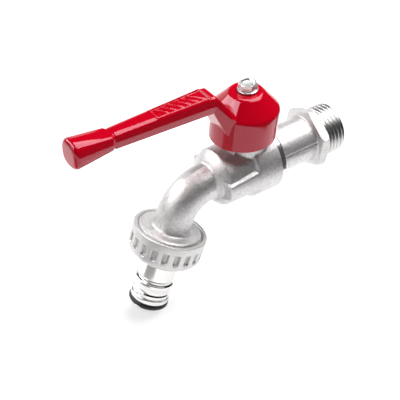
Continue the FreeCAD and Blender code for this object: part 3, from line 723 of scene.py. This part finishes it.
def hub_grid(sizes, columns=224):
    """Hub of the lever: a cup round the leaning axis with a level rim and a level top.

    Rows run from the screw's hole over the top, down the outer wall, under the rim, up the inner
    wall and back to the hole; a wall's rows share out the stations between its two level cuts. The
    top's edge is rounded by the curve (1 - t)^2 inner + 2 t (1 - t) corner + t^2 outer point."""
    line = hub_line(sizes)
    angle = once_round(columns)
    rows = []
    for inset, top in ((0.0, sizes.top), (sizes.wall, sizes.top - sizes.wall)):
        low = level_stations(line, angle, sizes.rim, sizes, inset)
        high = level_stations(line, angle, top, sizes, inset)
        share = np.linspace(0, 1, 70)[:, None]
        station = high + share * (low - high)
        wall = line.at(station, hub_radius(station, angle, sizes, inset), angle)
        hole = stem_line.at(top, sizes.hole_radius, angle)
        inward = hole - wall[0]
        inner = wall[0] + inward * (sizes.top_round / np.linalg.norm(inward, axis=1))[:, None]
        down = int(np.ceil(sizes.top_round / np.linalg.norm(wall[1] - wall[0], axis=1).mean()))
        bend = np.linspace(0, 1, 10)[:, None, None]
        arc = (1 - bend) ** 2 * inner + 2 * bend * (1 - bend) * wall[0] + bend ** 2 * wall[down]
        outward = np.linspace(0, 1, 8)[:-1, None, None]
        grid = np.concatenate([hole + outward * (inner - hole), arc, wall[down + 1:]])
        rows.append(grid if inset == 0 else grid[::-1])
    return np.concatenate(rows)


def lever_rings(sizes):
    """Rings of the crank, bar and grip every 0.25 mm along the lever: top x and z, bottom x and z, and
    the numbers of lever_section from the half width on. A short running mean rounds the knee."""
    top, low, end_low = sizes.bar_top / mm, sizes.bar_start_bottom / mm, sizes.bar_end_bottom / mm
    wide, narrow = sizes.bar_start_width / mm, sizes.bar_end_width / mm
    waist, grip, full = sizes.waist / mm, sizes.grip_start / mm, (sizes.grip_end - sizes.grip_round) / mm
    middle, half = sizes.grip_middle / mm, sizes.grip_height / mm
    # Top x, z, bottom x, z, half width, insets, parting (a share), rounds, roundness (a share), bevel
    keys = np.array([
        (9.7, 30.6, 13.1, 22.0, 8.0, 1.5, 2.0, 0.63, 0.5, 1.0, 0, 0.8),
        (17.4, top - 0.5, 18.7, low, wide, 0.35, 0.55, -0.04, 1.2, 0.9, 0, 1.2),
        (20.7, top, 20.7, low, wide, 0.35, 0.55, -0.04, 1.3, 0.9, 0, 1.2),
        (waist - 0.2, top - 0.1, waist - 0.2, end_low, narrow, 0.25, 0.4, -0.05, 1.2, 0.9, 0, 1.7),
        (waist + 0.1, top - 0.3, waist + 0.1, end_low + 0.05, narrow - 0.15, 0.25, 0.4, -0.05, 1.4, 1.2,
         0.3, 1.5),
        (grip, top - 0.2, grip, end_low + 0.05, narrow + 0.75, 0.3, 0.4, -0.05, 1.6, 2.0, 0.2, 0.7),
        (full, middle + half, full, middle - half, sizes.grip_width / mm, 0.35, 0.4, -0.05, 3.4, 3.2,
         1, 1.8)])
    keys[:, [0, 1, 2, 3, 4, 5, 6, 8, 9, 11]] *= mm
    centre = (keys[:, 0:2] + keys[:, 2:4]) / 2
    place = np.concatenate([[0], np.cumsum(np.linalg.norm(np.diff(centre, axis=0), axis=1))])
    fine = np.concatenate([np.arange(0, place[-1], 0.25 * mm), place[-1:]])
    rings = np.stack([np.interp(fine, place, column) for column in keys.T], 1)

    # The mean runs from the third ring to 12 rings, which is 3 mm, past the bar's start
    kernel = np.hanning(9)[1:-1]
    kernel /= kernel.sum()
    knee = slice(2, int(np.searchsorted(fine, place[2])) + 12)
    eased = np.stack([np.convolve(column, kernel, "same") for column in rings.T], 1)
    rings[knee] = eased[knee]
    return rings


def ring_points(ring, scale=1.0):
    """Points of one ring: middle + up along the line from its bottom to its top + across."""
    top, bottom = np.array([ring[0], 0, ring[1]]), np.array([ring[2], 0, ring[3]])
    height = np.linalg.norm(top - bottom)
    across, up = lever_section(height / 2, *ring[4:])
    rise = up[:, None] * (top - bottom) / height + across[:, None] * np.array([0, 1, 0])
    return stem_line.origin + (top + bottom) / 2 + scale * rise


def lever_bar_grid(sizes):
    """Crank, bar and grip: rounded sections swept along the lever, closed inside the hub's wall at
    one end and by a rounded edge and a flat face at the other. The panel sinks its top: each point
    falls by a smooth step of its distance inside the panel's outline, with a bead round it."""
    rings = lever_rings(sizes)
    body = np.stack([ring_points(ring) for ring in rings])

    # Towards the hub each point runs on along the crank until it lies in the middle of the wall
    line = hub_line(sizes)
    inward = (rings[0, :4] - rings[8, :4]).reshape(2, 2).mean(0)
    inward = np.array([inward[0], 0, inward[1]]) / np.linalg.norm(inward)
    reach = np.linspace(-3, 10, 261)[:, None] * mm
    start = []
    for scale in (0, 0.25, 0.5, 0.75, 0.9, 1.0):
        path = ring_points(rings[0], scale)[:, None] + reach[None] * inward
        station, out = line.split(path)
        angle = np.arctan2(out @ line.across, out @ line.side)
        inside = np.linalg.norm(out, axis=-1) < hub_radius(station, angle, sizes) - sizes.wall / 2
        start.append(path[np.arange(len(path)), np.argmax(inside, axis=1)])

    end = []
    last = rings[-1]
    for angle in np.radians(np.linspace(10, 90, 9)):
        ring = last.copy()
        drop = sizes.grip_round * (1 - math.cos(angle))
        ring[[0, 2]] = sizes.grip_end - sizes.grip_round * (1 - math.sin(angle))
        ring[1], ring[3], ring[4] = last[1] - drop, last[3] + drop, last[4] - drop
        end.append(ring_points(ring))
    for scale in (0.8, 0.6, 0.4, 0.2, 0):
        end.append(ring_points(ring, scale))

    grid = np.concatenate([np.stack(start), body, np.stack(end)])
    along, across, up = np.moveaxis(grid - stem_line.origin, -1, 0)
    share = (along - sizes.panel_start) / (sizes.waist - sizes.panel_start)
    half_width = sizes.bar_start_width + share * (sizes.bar_end_width - sizes.bar_start_width)
    inside = np.minimum(half_width - sizes.panel_margin - np.abs(across), along - sizes.panel_start)
    inside = np.minimum(inside, sizes.panel_end - along)
    slope, bead_height, bead_at, bead_width = 0.35 * mm, 0.2 * mm, 0.25 * mm, 0.3 * mm
    bead = bead_height * np.exp(-((inside + bead_at) / bead_width) ** 2)
    on_top = up > sizes.bar_top - 1.5 * mm
    grid[..., 2] += np.where(on_top, bead - sizes.panel_depth * smooth_step(inside / slope), 0)
    return grid


def hub_boss_grid(sizes, columns=96):
    """Boss inside the hub, on the stem's line: round outside, with a square hole for the stem whose
    radius is half the flats / the larger of |cos| and |sin|, and a round hole for the screw above."""
    angle = once_round(columns) + full_turn / columns / 2
    outer, half_flats, hole = 5.3 * mm, 2.85 * mm, sizes.hole_radius
    foot, shelf, top = 21.7 * mm, 32.2 * mm, sizes.top - sizes.wall / 2
    square = half_flats / np.maximum(np.abs(np.cos(angle)), np.abs(np.sin(angle)))
    rows = [(foot, outer), (top, outer), (top, hole), (shelf, hole), (shelf, square), (foot, square)]
    return np.stack([stem_line.at(height, radius, angle) for height, radius in rows])


def stop_ring_grid(sizes, columns=72):
    """Stop ring inside the skirt's rim: a sector between a bore round the stem and the middle of the
    leaning wall, whose two ends meet the body's lug. Its end sections shrink to a point."""
    angle = np.radians(np.linspace(124.5, 331, columns))
    bore, low, high = 9.2 * mm, 16.3 * mm, 19.4 * mm
    line = hub_line(sizes)
    outer = []
    for height in (low, high):
        station = level_stations(line, angle, height, sizes, sizes.wall / 2)
        outer.append(line.at(station, hub_radius(station, angle, sizes, sizes.wall / 2), angle))
    grid = np.stack([stem_line.at(low, bore, angle), *outer, stem_line.at(high, bore, angle)], 1)
    first, last = grid[:1].mean(1, keepdims=True), grid[-1:].mean(1, keepdims=True)
    return np.concatenate([np.repeat(first, 4, 1), grid, np.repeat(last, 4, 1)])


def raise_parting_line(mesh, sizes):
    """Raises the forging's parting line along the spout: each vertex beyond its start moves along its
    normal by height x exp(-(y / width) ^ 2), where y is the distance from the parting plane."""
    points, normals = rows_of(mesh.vertices, "co"), rows_of(mesh.vertex_normals, "vector")
    lift = sizes.line_height * np.exp(-(points[:, 1] / sizes.line_width) ** 2)
    lift *= points[:, 0] > stem_line.origin[0] + sizes.line_start
    move_vertices(mesh, points + lift[:, None] * normals)


def lever_ribs_mesh(sizes):
    """Raised ribs in the panel on top of the lever: slanted gables, shorter towards the grip. A gable's
    section shrinks to a point at both ends, and its foot lies below the panel's floor."""
    count, slant = 6, math.radians(-45)
    half_length, shorter, sunk = 4.0 * mm, 0.9 * mm, 0.1 * mm
    first, last = sizes.panel_start + 3.4 * mm, sizes.panel_end - 3.2 * mm
    floor = stem_line.origin + np.array([0, 0, sizes.bar_top - sizes.panel_depth])
    section = rounded_outline([
        (0, -0.3, 0), (1.05, -0.3, 0.05), (1.0, 0, 0.1), (0, 0.37, 0.3), (-1.0, 0, 0.1),
        (-1.05, -0.3, 0.05), (-0.1, -0.3, 0)]) * mm
    angle = np.linspace(-math.pi / 2, math.pi / 2, 25)[:, None]
    taper = np.abs(np.cos(angle)) ** 0.35
    reach = np.sign(angle) * np.abs(np.sin(angle)) ** 1.2
    across = section[:, 0] * taper
    up = (section[:, 1] + sunk) * taper - sunk
    grids = []
    for share in np.linspace(0, 1, count):
        along = (half_length - shorter * share) * reach
        points = np.stack([across * math.cos(slant) + along * math.sin(slant),
                           along * math.cos(slant) - across * math.sin(slant), up], -1)
        grids.append((points + floor + np.array([first + share * (last - first), 0, 0]), False))
    return mesh_of_grids("lever_ribs", *grids)


# Finishes

def finish(name, base, roughness, metallic=0.0, **sockets):
    """A principled material; other shader sockets are given by name with underscores for spaces."""
    material = bpy.data.materials.new(name)
    material.use_nodes = True
    shader = material.node_tree.nodes["Principled BSDF"]
    shader.inputs["Base Color"].default_value = (*base, 1)
    shader.inputs["Roughness"].default_value = roughness
    shader.inputs["Metallic"].default_value = metallic
    for socket, value in sockets.items():
        shader.inputs[socket.replace("_", " ")].default_value = value
    return material


def spread(nodes, links, value, *limits):
    """Socket that carries a value from between the first two limits to between the last two."""
    node = nodes.new("ShaderNodeMapRange")
    for socket, limit in zip(("From Min", "From Max", "To Min", "To Max"), limits):
        node.inputs[socket].default_value = limit
    links.new(value, node.inputs["Value"])
    return node.outputs["Result"]


def noise_between(material, scale, detail, low, high):
    """Noise on object coordinates, spread from low to high."""
    nodes, links = material.node_tree.nodes, material.node_tree.links
    place = nodes.new("ShaderNodeTexCoord")
    noise = nodes.new("ShaderNodeTexNoise")
    noise.inputs["Scale"].default_value = scale
    noise.inputs["Detail"].default_value = detail
    links.new(place.outputs["Object"], noise.inputs["Vector"])
    return spread(nodes, links, noise.outputs["Fac"], 0.35, 0.65, low, high)


def add_grain(material, scale, depth, rough=None, shade=None):
    """Noise as fine bumps on the surface, and coarser noises for its roughness and its shade."""
    nodes, links = material.node_tree.nodes, material.node_tree.links
    shader = nodes["Principled BSDF"]
    bump = nodes.new("ShaderNodeBump")
    bump.inputs["Distance"].default_value = depth
    links.new(noise_between(material, scale, 3, 0, 1), bump.inputs["Height"])
    links.new(bump.outputs["Normal"], shader.inputs["Normal"])
    if rough:
        links.new(noise_between(material, 600, 4, *rough), shader.inputs["Roughness"])
    if shade:
        tint = nodes.new("ShaderNodeMix")
        tint.data_type = "RGBA"
        tint.inputs["A"].default_value = (0, 0, 0, 1)
        tint.inputs["B"].default_value = shader.inputs["Base Color"].default_value
        links.new(noise_between(material, scale * 0.7, 3, *shade), tint.inputs["Factor"])
        links.new(tint.outputs["Result"], shader.inputs["Base Color"])
    return material


def make_finishes():
    """One material for each of the record's slots, and one each for the inlet's thread, the body's
    machined band and the painted shade in the nut's flutes."""
    colours = bpy.context.scene.tap_finishes
    paint = finish("gloss_red", colours.red, 0.08, Specular_IOR_Level=0.58, Specular_Tint=(1, 0.86, 1, 1))
    blasted = finish("blasted_plating", colours.blasted, 0.45, metallic=0.62)
    satin = finish("satin_plating", colours.satin, 0.4, metallic=0.65)
    return {
        "red_paint": add_grain(paint, 500, 0.005 * mm),
        "plated_brass": add_grain(blasted, 1800, 0.045 * mm, rough=(0.31, 0.47), shade=(0.80, 1)),
        "machined_band": finish("machined_band", colours.bright, 0.2, metallic=0.9),
        "chrome_brass": finish("bright_plating", colours.bright, 0.18, metallic=1),
        "cut_thread": finish("cut_thread", colours.thread, 0.28, metallic=1),
        "satin_nut": add_grain(satin, 2000, 0.02 * mm, rough=(0.34, 0.46), shade=(0.88, 1)),
        # Painted shade: a darker plating for the sunk floors of the nut's flutes
        "cast_flute": finish("cast_flute", colours.flute, 0.5, metallic=0.65),
        "zinc_steel": finish("zinc_plating", colours.zinc, 0.34, metallic=0.8),
        "bare_brass": finish("bare_brass", colours.brass, 0.25, metallic=1),
        "black_rubber": finish("black_rubber", colours.rubber, 0.45),
        "ptfe": finish("white_ptfe", colours.ptfe, 0.4),
        "gasket_fibre": finish("pressed_fibre", colours.fibre, 0.7),
    }


finishes = {}


def finish_of(name):
    """The material of a node's slot, or one named by itself. All are made on first use."""
    if not finishes:
        finishes.update(make_finishes())
    return finishes[slots.get(name, name)]


# Studio

def place_camera(sizes):
    """Camera at the photograph's angle. Its axes are right, up and back; it stands where the ball's
    centre has the measured depth and offsets from the picture's middle."""
    azimuth, elevation, roll = sizes.azimuth, sizes.elevation, sizes.roll
    outward = Vector((math.sin(azimuth), -math.cos(azimuth), 0))
    back = math.cos(elevation) * outward + math.sin(elevation) * Vector((0, 0, 1))
    level = (-back).cross(Vector((0, 0, 1))).normalized()
    above = level.cross(-back)
    right = math.cos(roll) * level + math.sin(roll) * above
    up = math.cos(roll) * above - math.sin(roll) * level
    camera = bpy.data.objects.new("camera", bpy.data.cameras.new("camera"))
    bpy.context.scene.collection.objects.link(camera)
    camera.data.sensor_width = 36
    camera.data.lens = sizes.lens
    camera.data.clip_start = 0.02
    spot = Vector(stem_line.origin) + back * sizes.distance - right * sizes.right - up * sizes.rise
    camera.matrix_world = Matrix.Translation(spot) @ Matrix((right, up, back)).transposed().to_4x4()
    bpy.context.scene.camera = camera


def seen(nodes, links, by_eye, by_mirror):
    """Socket that is by_eye for camera rays, by_mirror for glossy and transmission rays, else 0.
    Each of the two is a number or another socket."""
    path = nodes.new("ShaderNodeLightPath")
    mirror = nodes.new("ShaderNodeMath")
    mirror.operation = "MAXIMUM"
    links.new(path.outputs["Is Glossy Ray"], mirror.inputs[0])
    links.new(path.outputs["Is Transmission Ray"], mirror.inputs[1])
    shares = []
    for socket, value in ((path.outputs["Is Camera Ray"], by_eye), (mirror.outputs["Value"], by_mirror)):
        share = nodes.new("ShaderNodeMath")
        share.operation = "MULTIPLY"
        links.new(socket, share.inputs[0])
        if isinstance(value, bpy.types.NodeSocket):
            links.new(value, share.inputs[1])
        else:
            share.inputs[1].default_value = value
        shares.append(share.outputs["Value"])
    total = nodes.new("ShaderNodeMath")
    links.new(shares[0], total.inputs[0])
    links.new(shares[1], total.inputs[1])
    return total.outputs["Value"]


def set_out(name, mesh, material, for_mirrors=True):
    """Puts a mesh in the scene. A card for mirrors is seen by mirror rays alone."""
    mesh.materials.append(material)
    obj = bpy.data.objects.new(name, mesh)
    bpy.context.scene.collection.objects.link(obj)
    obj.visible_camera = not for_mirrors
    obj.visible_diffuse = not for_mirrors
    obj.visible_shadow = not for_mirrors


def lay_floor(sizes):
    """Pale floor under the nozzle's tip. Camera and mirror rays see it lifted to white, the camera
    more so far from the tap, where the lamps' light fades."""
    half = 3.0
    height = cad_box[0].z - 0.5 * mm
    corners = np.array([[(x, y, height) for y in (-half, half)] for x in (-half, half)])
    material = finish("floor_white", (0.8, 0.8, 0.8), 0.9)
    nodes, links = material.node_tree.nodes, material.node_tree.links
    place = nodes.new("ShaderNodeTexCoord")
    away = nodes.new("ShaderNodeVectorMath")
    away.operation = "LENGTH"
    links.new(place.outputs["Object"], away.inputs[0])
    near, far = 0.25, 1.2
    lift = spread(nodes, links, away.outputs["Value"], near, far, sizes.floor_lift, 1)
    glow = nodes.new("ShaderNodeEmission")
    glow.inputs["Color"].default_value = (1, 1, 1, 1)
    links.new(seen(nodes, links, lift, sizes.mirror_lift), glow.inputs["Strength"])
    both = nodes.new("ShaderNodeAddShader")
    links.new(nodes["Principled BSDF"].outputs["BSDF"], both.inputs[0])
    links.new(glow.outputs["Emission"], both.inputs[1])
    links.new(both.outputs["Shader"], nodes["Material Output"].inputs["Surface"])
    set_out("floor", sheet_mesh("floor", corners), material, for_mirrors=False)


def hang_dark_cards(sizes):
    """Dark cards round the stage, which only mirror rays see: a low card on the floor, a wall and a
    roof. Rows are (radius, height). The low card's edge is a straight line at the card distance, so
    its radius is that distance / the cosine of the angle from the card, and less than the wall's.
    Behind the tap the wall starts at the backdrop's height, and mirrors see the pale world below."""
    wall, wall_top = 1.25, 0.9
    roof, roof_height, middle_height = 0.8, 1.35, 1.5
    floor = cad_box[0].z + 1 * mm
    angle = once_round(96)
    edge = np.minimum(wall - 0.05, sizes.card_near / np.maximum(np.cos(angle - sizes.card_turn), 0.01))
    behind = np.abs((angle - sizes.backdrop_turn + math.pi) % full_turn - math.pi)
    foot = floor + (sizes.backdrop - floor) * smooth_step((math.radians(45) - behind) / math.radians(12))
    rows = [(edge, foot), (wall, foot), (wall, wall_top), (roof, roof_height), (0.1 * mm, middle_height)]
    grid = np.stack([room_line.at(height, radius, angle) for radius, height in rows])
    mesh = mesh_of_grids("dark_cards", (grid, False))
    set_out("dark_cards", mesh, finish("dark_card", (0.02, 0.02, 0.02), 0.9))


def lay_painted_shade_card():
    """Painted shade: a grey card on the floor beyond the lever's end, which only mirror rays see, so that
    the nozzle and the lever's skirt reflect a darker band of floor. It is a sector of a ring round the
    stem's line."""
    near, far = 0.101, 0.26
    height = cad_box[0].z + 1.2 * mm
    angle = np.radians(np.linspace(-12, 22, 25))
    grid = np.stack([room_line.at(height, radius, angle) for radius in (near, far)])
    set_out("painted_shade_card", sheet_mesh("painted_shade_card", grid), finish("painted_shade_card", (0.42, 0.41, 0.41), 0.9))


def pale_world(dim):
    """Surroundings: white to the camera and to mirrors, a dim grey for the light that they give."""
    world = bpy.data.worlds.new("studio")
    world.use_nodes = True
    bpy.context.scene.world = world
    nodes, links = world.node_tree.nodes, world.node_tree.links
    mix = nodes.new("ShaderNodeMix")
    mix.data_type = "RGBA"
    mix.inputs["A"].default_value = (dim, dim, dim, 1)
    mix.inputs["B"].default_value = (1, 1, 1, 1)
    links.new(seen(nodes, links, 1, 1), mix.inputs["Factor"])
    links.new(mix.outputs["Result"], nodes["Background"].inputs["Color"])


def place_lamps():
    """Soft boxes: a large one overhead, one beyond the lever's end, and a long strip between them
    that only mirror rays see. Each has an offset from the ball, the direction of its long side,
    its two sizes and its power."""
    centre = Vector(stem_line.origin)
    lamps = (
        ("overhead", (-0.34, -0.03, 0.70), (0, 1, 0), (0.85, 0.60), 8.1),
        ("side", (0.77, -0.14, 0.45), (0, 1, 0), (0.60, 0.60), 2.2),
        ("strip", (0.50, -0.44, 0.61), (0.31, 1.01, 0.48), (1.28, 0.34), 8.5),
    )
    for name, offset, along, size, power in lamps:
        data = bpy.data.lights.new(name, "AREA")
        data.shape = "RECTANGLE"
        data.size, data.size_y = size
        data.energy = power
        lamp = bpy.data.objects.new(name, data)
        bpy.context.scene.collection.objects.link(lamp)
        back = Vector(offset).normalized()
        side = Vector(along)
        side = (side - back * side.dot(back)).normalized()
        turn = Matrix((side, back.cross(side), back)).transposed().to_4x4()
        lamp.matrix_world = Matrix.Translation(centre + Vector(offset)) @ turn
        lamp.visible_camera = False
        lamp.visible_diffuse = name != "strip"


# Operators

class TAP_OT_forged_body(bpy.types.Operator):
    """Builds the forged body with its rounded edges and the outlet's thread"""
    bl_idname = "tap.forged_body"
    bl_label = "Forged body"

    def execute(self, context):
        sizes, outlet = context.scene.tap_body, context.scene.tap_outlet
        skin = softened("forged_body", "valve_body", sizes.cell, sizes.rounds)
        raise_parting_line(skin, sizes)
        sink_outlet(skin, outlet)
        piece("outlet_thread", outlet_thread_mesh(outlet), "valve_body", sharp_from=50, replaces=False)
        piece("forged_body", skin, "valve_body", sharp_from=80)
        along, across, up = (rows_of(skin.polygons, "center") - stem_line.origin).T
        inlet_end = inlet_line.origin[0] + inlet_line.reach("valve_body")[0] - stem_line.origin[0]
        band = along < inlet_end + sizes.band_length
        neck = (np.hypot(along, across) < sizes.neck_radius) & (up > sizes.neck_start)
        second_finish(skin, "machined_band", band | neck)
        return {"FINISHED"}


class TAP_OT_lever(bpy.types.Operator):
    """Builds the cast lever with its hub, bar and grip, and the ribs in its panel"""
    bl_idname = "tap.lever"
    bl_label = "Lever"

    def execute(self, context):
        sizes = context.scene.tap_lever
        mesh = mesh_of_grids("lever_casting", (hub_grid(sizes), True), (lever_bar_grid(sizes), False),
                             (hub_boss_grid(sizes), True), (stop_ring_grid(sizes), False))
        piece("lever_casting", mesh, "lever_handle", sharp_from=50)
        piece("lever_ribs", lever_ribs_mesh(sizes), "lever_handle", replaces=False)
        return {"FINISHED"}


class TAP_OT_inlet_connector(bpy.types.Operator):
    """Builds the inlet connector with its cut thread and chamfered hexagon"""
    bl_idname = "tap.inlet_connector"
    bl_label = "Inlet connector"

    def execute(self, context):
        sizes = context.scene.tap_inlet
        skin = connector_mesh(sizes)
        piece("threaded_inlet", skin, "inlet_connector", sharp_from=35)
        station, _ = inlet_line.split(rows_of(skin.polygons, "center"))
        second_finish(skin, "cut_thread", station < sizes.thread_length)
        return {"FINISHED"}


class TAP_OT_union_nut(bpy.types.Operator):
    """Builds the union nut with its finger flutes"""
    bl_idname = "tap.union_nut"
    bl_label = "Union nut"

    def execute(self, context):
        sizes = context.scene.tap_nut
        skin = nut_mesh(sizes)
        piece("fluted_nut", skin, "union_nut", sharp_from=50)
        station, out = nozzle_line.split(rows_of(skin.polygons, "center"))
        radius = np.linalg.norm(out, axis=1)
        beside = (station > sizes.flute_start) & (station < sizes.flute_end)
        outside = radius > sizes.bore_radius + 0.3 * mm
        # Painted shade: faces sunk deeper than this share of a flute's depth get the darker flute finish
        deep_share = 0.45
        sunk = radius < nut_wall(station, sizes) - deep_share * sizes.flute_depth
        second_finish(skin, "cast_flute", beside & outside & sunk)
        return {"FINISHED"}


class TAP_OT_nozzle(bpy.types.Operator):
    """Builds the hose nozzle and its O-ring"""
    bl_idname = "tap.nozzle"
    bl_label = "Nozzle"

    def execute(self, context):
        sizes = context.scene.tap_nozzle
        piece("turned_nozzle", nozzle_mesh(sizes), "nozzle_nipple")
        piece("nozzle_oring", oring_mesh(sizes), "nipple_oring")
        return {"FINISHED"}


class TAP_OT_handle_screw(bpy.types.Operator):
    """Builds the dimpled screw that holds the lever"""
    bl_idname = "tap.handle_screw"
    bl_label = "Handle screw"

    def execute(self, context):
        piece("dimpled_screw", screw_mesh(), "handle_screw", sharp_from=35)
        return {"FINISHED"}


class TAP_OT_inner_pieces(bpy.types.Operator):
    """Gives the CAD pieces their finishes, which those inside the tap show"""
    bl_idname = "tap.inner_pieces"
    bl_label = "Inner pieces"

    def execute(self, context):
        for node, obj in frame["nodes"].items():
            obj.data.materials.clear()
            obj.data.materials.append(finish_of(node))
        return {"FINISHED"}


class TAP_OT_studio(bpy.types.Operator):
    """Places the camera, the lamps, the floor and the pale surroundings"""
    bl_idname = "tap.studio"
    bl_label = "Studio"

    def execute(self, context):
        sizes = context.scene.tap_stage
        place_camera(sizes)
        lay_floor(sizes)
        hang_dark_cards(sizes)
        # Painted shade in the reflections of the floor
        lay_painted_shade_card()
        pale_world(sizes.world_level)
        place_lamps()
        context.scene.view_settings.view_transform = "Standard"
        return {"FINISHED"}


operators = (TAP_OT_forged_body, TAP_OT_lever, TAP_OT_inlet_connector, TAP_OT_union_nut, TAP_OT_nozzle,
             TAP_OT_handle_screw, TAP_OT_inner_pieces, TAP_OT_studio)


class TAP_PT_sidebar(bpy.types.Panel):
    """Lists the tap's pieces and their sizes in the 3D view's sidebar"""
    bl_idname = "TAP_PT_sidebar"
    bl_label = "Garden tap"
    bl_space_type = "VIEW_3D"
    bl_region_type = "UI"
    bl_category = "Garden tap"

    def draw(self, context):
        for operator in operators:
            self.layout.operator(operator.bl_idname)
        for name, group in settings.items():
            box = self.layout.box()
            box.label(text=group.__doc__.split(",")[0].rstrip("."))
            for field in group.__annotations__:
                box.prop(getattr(context.scene, name), field)


def register():
    for group in settings.values():
        bpy.utils.register_class(group)
    for name, group in settings.items():
        setattr(bpy.types.Scene, name, PointerProperty(type=group))
    for operator in operators:
        bpy.utils.register_class(operator)
    bpy.utils.register_class(TAP_PT_sidebar)


def unregister():
    bpy.utils.unregister_class(TAP_PT_sidebar)
    for operator in reversed(operators):
        bpy.utils.unregister_class(operator)
    for name, group in reversed(settings.items()):
        delattr(bpy.types.Scene, name)
        bpy.utils.unregister_class(group)


def main():
    register()
    for operator in operators:
        group, name = operator.bl_idname.split(".")
        getattr(getattr(bpy.ops, group), name)()


if __name__ == "__main__":
    main()
